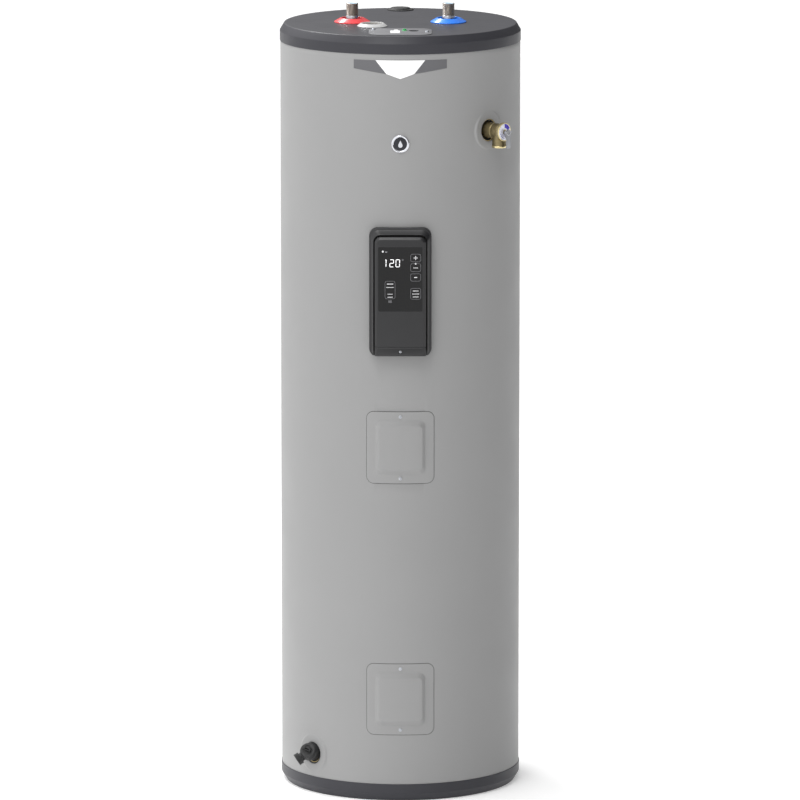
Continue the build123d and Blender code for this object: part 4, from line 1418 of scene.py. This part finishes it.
def key_ring(name, x, z, width, height, corner=4.2, line=0.45):
    """Outline of a touch key: two rounded boxes joined front and back."""
    outer = rounded_box(width, height, corner, 4, (x, z))
    inner = rounded_box(width - 2 * line, height - 2 * line, corner - line, 4, (x, z))
    rings = [(outer, ink_low), (outer, ink_high), (inner, ink_high), (inner, ink_low)]
    points = np.stack([front.put(o[:, 0], o[:, 1], d) for o, d in rings])
    return grid_piece(name, points, wrap_rows=True)


def ink_bar(name, x, z, width, height):
    """Printed bar with round ends."""
    outline = rounded_box(width, height, min(width, height) * 0.35, 3, (x, z))
    return lofted(name, front, [(outline, ink_low), (outline, ink_high)])


def ink_words(name, x, z, width, height):
    """Row of short dashes in place of a line of print, with gaps where letters would part."""
    dash, gap = height * 1.1, height * 0.35
    count = max(int((width + gap) / (dash + gap)), 1)
    start = x - ((count - 1) * (dash + gap)) / 2
    return joined(
        name, [ink_bar(f"{name}_{i}", start + i * (dash + gap), z, dash, height) for i in range(count)]
    )


def ink_dot(name, x, z, radius):
    """Printed dot."""
    return lofted(name, front, [(circle(radius, 20, (x, z)), depth) for depth in (ink_low, ink_high)])


top_of_lens = lens_high[2]
right_x, left_x = 32.0, -21.5
plus_z, enter_z, minus_z = top_of_lens - 22.8, top_of_lens - 43.2, top_of_lens - 64.0
low_right_z, low_left_z = top_of_lens - 98.5, top_of_lens - 90.5
keys = [
    key_ring("key_plus", right_x, plus_z, 21.5, 16.5),
    key_ring("key_enter", right_x, enter_z, 21.5, 17.5),
    key_ring("key_minus", right_x, minus_z, 21.5, 16.0),
    key_ring("key_low_right", right_x, low_right_z, 21.5, 23.5),
    key_ring("key_low_left", left_x, low_left_z, 21.5, 37.5),
]
trim(joined("key_outlines", keys), print_grey, "control_lens")
white_marks = [
    ink_bar("plus_a", right_x, plus_z, 8.4, 1.3),
    ink_bar("plus_b", right_x, plus_z, 1.3, 8.4),
    ink_bar("minus_a", right_x, minus_z, 6.6, 1.8),
    ink_dot("enter_dot", right_x, enter_z + 8.2, 1.7),
    ink_words("enter_bar", right_x, enter_z - 0.6, 10.5, 1.7),
    ink_dot("power_dot", -36.6, top_of_lens - 9.4, 2.1),
]
for i, drop in enumerate((-6.0, 0.4, 6.6)):
    white_marks.append(
        ink_words(f"right_bar_{i}", right_x, low_right_z - drop, 12.5 if i != 1 else 15.5, 1.7)
    )
for i, (rise, width) in enumerate(((12.6, 14.5), (5.4, 15.5), (-8.8, 11.5), (-15.2, 13.0))):
    white_marks.append(
        ink_words(f"left_bar_{i}", left_x, low_left_z + rise, width, 1.9 if i in (0, 3) else 1.5)
    )
trim(joined("key_marks", white_marks), print_white, "control_lens")
dim_marks = [
    ink_bar("dim_light", -29.6, top_of_lens - 10.4, 4.6, 2.2),
    key_ring("lock_box", left_x, low_left_z - 24.5, 6.5, 4.6, 0.8, 0.6),
    ink_bar("lock_bar", left_x, low_left_z - 24.5, 2.6, 1.6),
]
trim(joined("dim_marks", dim_marks), print_grey, "control_lens")

# %% Lit digits
digit_segments = {"1": "bc", "2": "abged", "0": "abcdef"}
digit_w, digit_h, stroke, slant = 9.0, 16.4, 1.4, 0.03


def segment(name, x, z, length, standing):
    """One display segment: a long bar with pointed ends, lying or standing."""
    half, thick = length / 2, stroke / 2
    upper = [[half, 0], [half - thick, thick], [thick - half, thick]]
    lower = [[-half, 0], [thick - half, -thick], [half - thick, -thick]]
    shape = np.array(upper + lower)
    if standing:
        shape = shape[:, ::-1] * [-1, 1]
    shape = shape + [x, z]
    shape[:, 0] += (shape[:, 1] - digits_z) * slant
    return lofted(name, front, [(shape, ink_low), (shape, ink_high)])


digits_z = top_of_lens - 34.0
w, h = digit_w - stroke, (digit_h - stroke) / 2
spots = {
    "a": (0, 2 * h / 2, w, False),
    "g": (0, 0, w, False),
    "d": (0, -h, w, False),
    "b": (w / 2, h / 2, h, True),
    "c": (w / 2, -h / 2, h, True),
    "e": (-w / 2, -h / 2, h, True),
    "f": (-w / 2, h / 2, h, True),
}
digits = []
for place, (digit, x) in enumerate(zip("120", (-33.6, -18.0, -5.4))):
    for part in digit_segments[digit]:
        dx, dz, length, standing = spots[part]
        digits.append(segment(f"digit_{place}_{part}", x + dx, digits_z + dz, length - 0.3, standing))
digits.append(segment("flag", -30.6, digits_z + h - 0.4, 2.6, False))
trim(joined("lit_digits", digits), lit_digit, "control_lens")
degree = key_ring("degree_ring", 4.8, digits_z + h - 0.4, 3.4, 3.4, 1.65, 0.5)
trim(degree, print_grey, "control_lens")

# %% Control screw
door_screw_z = middle_mm("control_cover_screw")[2]
screw_seat = Seat((0, 0, door_screw_z), (0, -1, 0))
door_screw = screw_head("control_screw", screw_seat, door_out - 0.4, 0.8, 2.6, drive=1.4)
shank = turned("control_screw_shank", screw_seat, [(1.8, pocket_back), (1.8, door_out - 0.6)], count=20)
finish_piece(joined("control_screw", [door_screw, shank]), zinc_steel, "control_cover_screw")
# the cup round the screw is painted shade: a dark ring standing in for the shade in the recess round the head
cup = rounded(
    [(2.6, 0.06), (4.6, 0.06), (5.4, 0.3), (5.7, 0.0), (5.7, -0.6), (2.6, -0.6)], [0, 0.4, 0.2, 0, 0, 0]
)
cup_ring = turned("screw_cup", screw_seat, cup + [0, door_out], closed=True)
trim(cup_ring, pocket_shade_plastic, "control_cover")

# %% [markdown]
# ## Nameplate and badge
# The nameplate is a printed film with a white shield over grey wings. It has no words here. It
# follows the jacket, so it is a grid: columns run along the jacket, and rows run from the
# straight top edge to a lower edge that is given as a drop for each column.

# %% Nameplate


def film(name, node, corners, material, radius, wall, columns=140, rows=12):
    """Curved film whose lower edge drops by the straight-line figure through corners, each a
    (distance from the middle, drop)."""
    top = box_mm(node)[1][2]
    reach, drop = np.array(corners).T
    across = np.linspace(-reach.max(), reach.max(), columns)
    fall = np.interp(np.abs(across), reach[np.argsort(reach)], drop[np.argsort(reach)])
    down = np.linspace(0, 1, rows)[:, None] * fall[None, :]
    turn = np.broadcast_to(across / jacket_r, down.shape)
    points = np.stack([radius * np.sin(turn), -radius * np.cos(turn), top - down], axis=-1)
    piece = grid_piece(name, points, caps=False, wrap_columns=False, away_from=(0, 0, 1500), merge=0.01)
    return finish_piece(piece, material, node, wall=wall, bevel=0.12)


wings = (box_mm("nameplate")[1][0] - box_mm("nameplate")[0][0]) / 2 * 1.022
film("nameplate_wings", "nameplate", [(0, 33), (29, 28.5), (wings, 18.4)], label_grey, jacket_r + 0.6, 0.5)
shield_top, shield_waist = 51.8, 29.0
film(
    "nameplate_shield_film",
    "nameplate_shield",
    [(0, 39), (shield_waist, 28.5), (shield_top, 0.05)],
    label_white,
    jacket_r + 1.0,
    0.3,
    columns=120,
)

# %% Badge
badge = middle_mm("badge_ring")
badge_seat = Seat((0, 0, badge[2]), (0, -1, 0))
badge_out = -box_mm("badge_ring")[0][1]
badge_r = (box_mm("badge_ring")[1] - box_mm("badge_ring")[0])[0] / 2
ring_profile = rounded(
    [
        (badge_r - 5.0, jacket_r - 1.5),
        (badge_r, jacket_r - 1.5),
        (badge_r, badge_out - 1.3),
        (badge_r - 1.6, badge_out),
        (badge_r - 3.0, badge_out - 0.2),
        (badge_r - 4.6, badge_out - 1.5),
    ],
    [0, 0, 0.7, 1.0, 0.8, 0.3],
    closed=True,
)
finish_piece(
    turned("badge_bezel", badge_seat, ring_profile, closed=True, count=96), bright_chrome, "badge_ring"
)
dome_r = badge_r - 4.4
radii = np.linspace(0, 1, 10)
dome = [(dome_r * r, badge_out - 1.3 - 0.8 * r**2) for r in radii]
dome += [(dome_r, jacket_r - 1.4), (0, jacket_r - 1.4)]
finish_piece(turned("badge_dome", badge_seat, dome, count=96), badge_enamel, "badge_disc")


def drop_outline(size, count=48):
    """Water drop: x = size sin(t) sin(t/2)^1.5, y = size cos(t) with t once round."""
    t = np.linspace(0, 2 * math.pi, count, endpoint=False)
    return np.column_stack([size * 0.82 * np.sin(t) * np.sin(t / 2) ** 1.5, size * np.cos(t)])


drop_top = badge_out - 1.0
drop_mark = lofted("badge_drop", badge_seat, [(drop_outline(7.6), out) for out in (drop_top - 1.2, drop_top)])
trim(drop_mark, bright_chrome, "badge_disc")

# %% [markdown]
# ## Relief valve
# The valve is cast brass with turned faces. Its barrel comes out of the jacket, a boss points
# down for the discharge pipe, and a bonnet closes the end with a foil tag on its face. A steel
# lever hangs over it. Barrel, boss and bonnet are turned; the lever is a folded channel.

# %% Barrel, boss and bonnet
turn = math.radians(relief_angle)
relief_out = np.array([math.sin(turn), -math.cos(turn), 0.0])
relief_seat = Seat((0, 0, relief_z), relief_out)
barrel = turned(
    "relief_barrel",
    relief_seat,
    rounded(
        [
            (0, 196),
            (13.3, 196),
            (13.3, 218),
            (15.2, 219),
            (15.2, 238),
            (16.2, 240),
            (16.2, 268),
            (15.0, 270),
            (15.0, 272),
            (16.2, 274),
            (16.2, 287),
            (14.2, 288.5),
            (14.2, 291),
            (0, 291),
        ],
        [0, 1, 0, 0.5, 0.5, 1.0, 0.7, 0.4, 0.4, 0.7, 1.0, 0.4, 0, 0],
        steps=3,
    ),
    count=72,
)
outlet_x, outlet_r, outlet_low = 282.6, 15.2, -34.0
outlet_seat = Seat(relief_out * outlet_x + [0, 0, relief_z], (0, 0, 1), up=relief_out)
boss = turned(
    "relief_boss",
    outlet_seat,
    rounded(
        [
            (7, -2),
            (13.5, -2),
            (14.4, -8),
            (14.4, outlet_low + 6.4),
            (outlet_r, outlet_low + 5.6),
            (outlet_r, outlet_low),
            (12.4, outlet_low),
            (12.2, outlet_low + 14),
            (7, outlet_low + 14),
        ],
        [0, 2, 2, 0.4, 0.4, 0.7, 0.5, 0, 0],
        steps=3,
        closed=True,
    ),
    count=72,
    closed=True,
)
finish_piece(joined("relief_casting", [barrel, boss]), cast_brass, "tp_body")
rim = turned(
    "relief_rim",
    outlet_seat,
    rounded(
        [
            (12.3, outlet_low - 0.0),
            (outlet_r + 0.15, outlet_low),
            (outlet_r + 0.15, outlet_low + 4.2),
            (12.3, outlet_low + 4.2),
        ],
        0.5,
        3,
        closed=True,
    ),
    closed=True,
)
trim(rim, turned_brass, "tp_body")
bonnet_r, bonnet_back, bonnet_face = 19.5, 290.0, 298.6
bonnet = turned(
    "relief_bonnet",
    relief_seat,
    rounded(
        [
            (12, bonnet_back),
            (18.4, bonnet_back),
            (bonnet_r, bonnet_back + 1.4),
            (bonnet_r, bonnet_face - 1.0),
            (bonnet_r - 0.9, bonnet_face),
            (bonnet_r - 1.6, bonnet_face),
            (bonnet_r - 2.0, bonnet_face - 0.9),
            (3.6, bonnet_face - 0.9),
            (3.6, bonnet_face - 3.4),
            (12, bonnet_face - 3.4),
        ],
        [0, 0.6, 0.8, 0.5, 0.3, 0.2, 0.1, 0, 0, 0],
        steps=3,
        closed=True,
    ),
    count=96,
    closed=True,
)
finish_piece(bonnet, turned_brass, "tp_bonnet")

# %% Foil tag with blank print
tag_r, tag_hole = 17.4, 5.6
tag_ring = rounded(
    [
        (tag_hole, bonnet_face - 0.85),
        (tag_r, bonnet_face - 0.85),
        (tag_r, bonnet_face - 0.3),
        (tag_hole, bonnet_face - 0.3),
    ],
    0.15,
    2,
    closed=True,
)
finish_piece(turned("relief_tag", relief_seat, tag_ring, closed=True, count=96), tag_foil, "tp_tag")


def tag_band(name, inner, outer, start, end, low=bonnet_face - 0.32, high=bonnet_face - 0.22):
    """Printed band on the tag: part of a ring between two angles, in degrees from level."""
    sweep = np.radians(np.linspace(start, end, 24))[:, None]
    radius = np.array([[inner, inner, outer, outer]])
    out = np.array([[low, high, high, low]])
    points = relief_seat.put(radius * np.cos(sweep), radius * np.sin(sweep), out + 0 * sweep)
    return grid_piece(name, points)


bands = [tag_band("band_top", 8.2, 16.6, 22, 92)]
bands += [tag_band(f"band_{i}", 12.4, 13.8, a, a + 14) for i, a in enumerate(range(190, 262, 20))]
bands += [tag_band(f"dash_{i}", 8.6, 9.6, a, a + 18) for i, a in enumerate(range(170, 250, 26))]
trim(joined("tag_print", bands), violet_print, "tp_tag")

# %% Stem, pin and lever
pin_x = 306.5
button_r, stem_r = 4.8, 3.2
stem = turned(
    "relief_stem_turned",
    relief_seat,
    rounded(
        [
            (0, 255.0),
            (5, 255.0),
            (5, 262.3),
            (10.8, 262.3),
            (10.8, 265.3),
            (stem_r, 265.3),
            (stem_r, pin_x + 3.0),
            (button_r, pin_x + 3.0),
            (button_r, pin_x + 4.5),
            (3.1, pin_x + 4.5),
            (2.6, pin_x + 4.0),
            (0, pin_x + 4.0),
        ],
        [0, 0.4, 0.2, 0.4, 0.4, 0.2, 0.2, 0.3, 0.5, 0.3, 0.2, 0],
        steps=3,
    ),
    count=64,
)
finish_piece(stem, stamped_steel, "tp_stem")
pin_origin = relief_out * pin_x + np.array([0, 0, relief_z])
pin_seat = Seat(pin_origin, relief_seat.across, up=(0, 0, 1))
lever_half, lever_sheet, lever_tip = 6.5, 1.2, -34.0
pin_r, pin_head_r, pin_short, pin_long = 1.45, 2.1, lever_half + 1.4, 11.5
pin_profile = [
    (0, -pin_short),
    (pin_head_r, -pin_short),
    (pin_head_r, -lever_half - 0.1),
    (pin_r, -lever_half - 0.1),
    (pin_r, pin_long - 1.6),
    (pin_head_r, pin_long - 1.6),
    (pin_head_r, pin_long),
    (0, pin_long),
]
pin_piece = turned("lever_pin", pin_seat, rounded(pin_profile, [0, 0.5, 0, 0, 0, 0, 0.5, 0]), count=32)
finish_piece(pin_piece, zinc_steel, "tp_lever_pin")
strap_seat = Seat(pin_origin, relief_out)
strap_back = 1.7
strap_front = strap_back + lever_sheet


def strap_outline(inset):
    """Strap seen from the front: a half circle over the pin, straight sides, a slight flare at
    the tip."""
    half, tip = lever_half - inset, lever_tip + inset
    corners = [
        (half + 0.5, tip), (half, tip + 9), (half, half), (-half, half), (-half, tip + 9), (-half - 0.5, tip)
    ]
    return rounded(corners, [1.6, 12, half * 0.98, half * 0.98, 12, 1.6], 10, closed=True)


def lever_strap(name):
    """Flat strap with a hole for the stem's button. The hole's points have the same angles as
    the outline's, and the rings between them close into one loop."""
    outer = strap_outline(0.0)
    spin = np.arctan2(outer[:, 1], outer[:, 0])
    hole = np.column_stack([np.cos(spin), np.sin(spin)])
    rings = [
        (hole * (button_r + 0.3), strap_back),
        (strap_outline(0.25), strap_back),
        (outer, strap_back + 0.25),
        (outer, strap_front - 0.4),
        (strap_outline(0.12), strap_front - 0.12),
        (strap_outline(0.4), strap_front),
        (hole * (button_r + 0.6), strap_front),
        (hole * (button_r + 0.3), strap_front - 0.3),
    ]
    points = np.stack([strap_seat.put(o[:, 0], o[:, 1], d) for o, d in rings])
    return grid_piece(name, points, wrap_rows=True, crease=40)


def lever_ear(name, side):
    """Ear folded back from the strap to the pin, drawn in the upright plane through the valve's
    axis and as thick as the sheet."""
    corners = [
        (-3.9, 3.9), (strap_back + 0.5, 4.4), (strap_back + 0.5, -15), (strap_back - 0.4, -15), (-3.7, -5)
    ]
    outline = rounded(corners, [3.6, 0.4, 0.3, 0.3, 3.6], closed=True)
    low = side * lever_half if side < 0 else side * lever_half - lever_sheet
    centre = outline.mean(0)
    levels = []
    for share, out in (
        (0.96, low), (1, low + 0.25), (1, low + lever_sheet - 0.25), (0.96, low + lever_sheet)
    ):
        shape = centre + (outline - centre) * share
        spot = shape[:, :1] * relief_out + shape[:, 1:] * np.array([0, 0, 1.0])
        levels.append(pin_origin + spot + out * relief_seat.across)
    return grid_piece(name, np.stack(levels))


washer = np.array(
    [(5.15, 0.02), (6.3, 0.02), (6.3, 0.4), (5.9, 0.6), (5.5, 0.6), (5.15, 0.4)]
) + [0, strap_front]
washer_ring = turned("lever_washer", strap_seat, washer, closed=True)
trim(washer_ring, bright_chrome, "tp_lever")
lever = joined("relief_lever", [lever_strap("strap"), lever_ear("ear_a", -1), lever_ear("ear_b", 1)])
finish_piece(lever, stamped_steel, "tp_lever")

# %% [markdown]
# ## Drain valve
# The drain is moulded in black nylon: a barrel out of the jacket, a round boss for the plug,
# and a hose end that points down to the left. The hose thread is coarse, 11.5 to the inch, and
# gets the same real helix as the pipes. The plug has a screwdriver slot.

# %% Barrel and boss
drain_turn = -turn
drain_out = np.array([math.sin(drain_turn), -math.cos(drain_turn), 0.0])
drain_across = np.array([math.cos(drain_turn), math.sin(drain_turn), 0.0])
elbow, clock = math.radians(45), math.radians(50)
sideways = -math.cos(clock) * drain_across + np.array([0, 0, -math.sin(clock)])
hose_dir = math.cos(elbow) * drain_out + math.sin(elbow) * sideways
plug_dir = math.sin(elbow) * drain_out - math.cos(elbow) * sideways
drain_z = 91.0
drain_centre = 265.6 * drain_out + np.array([0, 0, drain_z])
hose_seat = Seat(drain_centre, hose_dir, up=plug_dir)
plug_axis = Seat(drain_centre, plug_dir, up=hose_dir)
drain_seat = Seat((0, 0, drain_z), drain_out)
barrel = turned(
    "drain_barrel",
    drain_seat,
    rounded(
        [(0, 197), (13.3, 197), (13.3, 222), (19.3, 222), (19.3, 262), (15.5, 268.5), (0, 268.5)],
        [0, 1, 0, 1, 4, 5, 0],
        steps=6,
    ),
)
boss = turned(
    "drain_boss",
    plug_axis,
    rounded(
        [(0, -12), (14.5, -12), (17.3, -6), (17.3, 9.0), (15.2, 12.0), (10.6, 12.0), (10.6, 10.4), (0, 10.4)],
        [0, 4, 6, 2.2, 1.4, 0.5, 0, 0],
        steps=6,
    ),
)
hose_len, hose_thread_len = 31.0, 10.0
neck = turned(
    "drain_neck",
    hose_seat,
    rounded(
        [
            (6.2, 0),
            (9.4, 0),
            (9.2, hose_len - hose_thread_len - 0.6),
            (12.4, hose_len - hose_thread_len - 0.6),
            (12.4, hose_len - hose_thread_len + 0.4),
            (6.2, hose_len - hose_thread_len + 0.4),
        ],
        [0, 0, 1.2, 0.3, 0, 0],
        closed=True,
    ),
    closed=True,
)
hose_end = threaded(
    "drain_hose_end",
    hose_seat,
    hose_len - hose_thread_len,
    hose_thread_len - 0.8,
    13.2,
    6.2,
    depth=0.9,
    pitch=25.4 / 11.5,
)
finish_piece(joined("drain_moulding", [barrel, boss, neck, hose_end]), black_nylon, "drain_body")

# %% Shaded linings of the valve holes
# the seal's lip lines each hole and closes the gap round the barrel
lining_profile = [(19.7, 246), (26.5, 246), (26.5, 253.3), (23.3, 253.3), (23.3, 250.5), (19.7, 250.5)]
for name, seat in (("drain", drain_seat), ("relief", relief_seat)):
    lining = turned(f"{name}_hole_lining", seat, np.array(lining_profile), closed=True)
    trim(lining, rubber_black, "valve_hole_seals")

# %% Slotted plug
slot_turn = math.radians(29)
slot = rounded([(5.6, -1.5), (5.6, 1.5), (-5.6, 1.5), (-5.6, -1.5)], 1.4, 15, closed=True)
# the slot is drawn along the direction square to both arms, and turned from it
closed_port = np.cross(hose_dir, plug_dir)
slot_seat = Seat(drain_centre, plug_dir, up=np.cross(plug_dir, closed_port))
cos_s, sin_s = math.cos(slot_turn), math.sin(slot_turn)
slot = slot @ np.array([[cos_s, sin_s], [-sin_s, cos_s]])
spin = np.arctan2(slot[:, 1], slot[:, 0])


def round_like_slot(radius):
    """Circle whose points have the same angles as the slot's, so the two can be joined."""
    return radius * np.column_stack([np.cos(spin), np.sin(spin)])


plug_top = 19.0
plug = lofted(
    "drain_plug",
    slot_seat,
    [
        (round_like_slot(9.9), -8.6),
        (round_like_slot(10.1), -8.3),
        (round_like_slot(10.1), 9.6),
        (round_like_slot(5.0), 9.9),
        (round_like_slot(5.0), 12.4),
        (round_like_slot(8.1), 12.5),
        (round_like_slot(8.3), 12.8),
        (round_like_slot(8.3), plug_top - 0.9),
        (round_like_slot(8.0), plug_top - 0.3),
        (round_like_slot(7.4), plug_top),
        (round_like_slot(6.3), plug_top),
        (slot * 1.06, plug_top - 0.1),
        (slot, plug_top - 0.4),
        (slot * 0.97, plug_top - 5.0),
    ],
    crease=40,
)
finish_piece(plug, black_nylon, "drain_stem")

# %% [markdown]
# ## Studio
# The heater stands on a wide pale floor under an even sky. The sky is brighter on the left than
# on the right, which is what shades the jacket from side to side. One softbox above draws the
# bright line on the cap's rim, and another in front and above lights the control's slopes. The
# sky is a world shader, so nothing in a material has to know about it.

# %% Floor
floor_half = 60.0
floor_mesh = bpy.data.meshes.new("studio_floor")
floor_corners = [(-1, -1, 0), (1, -1, 0), (1, 1, 0), (-1, 1, 0)]
floor_mesh.from_pydata((np.array(floor_corners) * floor_half).tolist(), [], [(0, 1, 2, 3)])
floor = bpy.data.objects.new("studio_floor", floor_mesh)
bpy.context.scene.collection.objects.link(floor)
floor_paint = finish(
    "matt_white_floor", "#f7f7f7", drift="#f5f5f5", drift_mm=900, rough=(0.7, 0.8), rough_mm=300
)
floor_shader = floor_paint.node_tree.nodes["Principled BSDF"]
floor_shader.inputs["Emission Color"].default_value = (1, 1, 1, 1)
floor_shader.inputs["Emission Strength"].default_value = 0.3
floor_mesh.materials.append(floor_paint)

# %% Sky
world = bpy.data.worlds.new("studio_sky")
bpy.context.scene.world = world
world.use_nodes = True
sky_tree = world.node_tree
background = sky_tree.nodes["Background"]
direction = add_node(sky_tree, "ShaderNodeTexCoord").outputs["Generated"]
parts = add_node(sky_tree, "ShaderNodeSeparateXYZ", {"Vector": direction}).outputs
# left to right: bright, then falling to almost dark
across_sky = add_node(
    sky_tree, "ShaderNodeMapRange", {"Value": parts["X"], "From Min": -1.0, "From Max": 1.0}
)
ramp = add_node(sky_tree, "ShaderNodeValToRGB", {"Fac": across_sky.outputs["Result"]})
for stop, (place, level) in zip(ramp.color_ramp.elements, ((0.0, 0.72), (1.0, 0.01))):
    stop.position, stop.color = place, (level, level, level, 1)
for place, level in ((0.35, 0.74), (0.60, 0.34)):
    ramp.color_ramp.elements.new(place).color = (level, level, level, 1)
# low behind the heater the sky is dim, as a studio is behind its backdrop
rise = add_node(sky_tree, "ShaderNodeMath", {0: parts["Z"], 1: parts["Y"]}, operation="SUBTRACT")
behind = add_node(
    sky_tree,
    "ShaderNodeMapRange",
    {"Value": rise.outputs["Value"], "From Min": -0.95, "From Max": -0.1, "To Min": 0.06, "To Max": 1.0},
)
level = add_node(
    sky_tree, "ShaderNodeMath", {0: ramp.outputs["Color"], 1: behind.outputs["Result"]}, operation="MULTIPLY"
)
sky_strength = 2.0
strength = add_node(
    sky_tree, "ShaderNodeMath", {0: level.outputs["Value"], 1: sky_strength}, operation="MULTIPLY"
)
sky_tree.links.new(strength.outputs["Value"], background.inputs["Strength"])
background.inputs["Color"].default_value = (1, 1, 1, 1)

# %% Softbox


def softbox(name, place, aim, width, height, power):
    """Rectangular area light that looks from place to aim."""
    light = bpy.data.lights.new(name, "AREA")
    light.shape, light.size, light.size_y, light.energy = "RECTANGLE", width, height, power
    lamp = bpy.data.objects.new(name, light)
    lamp.location = place
    lamp.rotation_euler = (Vector(aim) - Vector(place)).to_track_quat("-Z", "Y").to_euler()
    bpy.context.scene.collection.objects.link(lamp)
    return lamp


softbox("top_softbox", (-1.1, 1.2, 3.4), (-0.05, 0, 1.6), 1.6, 0.5, 60)
softbox("front_softbox", (-0.4, -1.9, 3.6), (0, -0.27, 1.1), 1.2, 1.2, 24)
bpy.context.scene.view_settings.view_transform = "Standard"

# %% Camera
camera_data = bpy.data.cameras.new("camera")
camera_data.sensor_width = 36.0
camera_data.lens = 350.2
camera = bpy.data.objects.new("camera", camera_data)
camera.location = (-0.0007, -16.321, 3.6665)
aim = Vector((-0.0007, 0.0, 0.8176))
camera.rotation_euler = (aim - camera.location).to_track_quat("-Z", "Y").to_euler()
camera_data.clip_end = 200.0
bpy.context.scene.collection.objects.link(camera)
bpy.context.scene.camera = camera
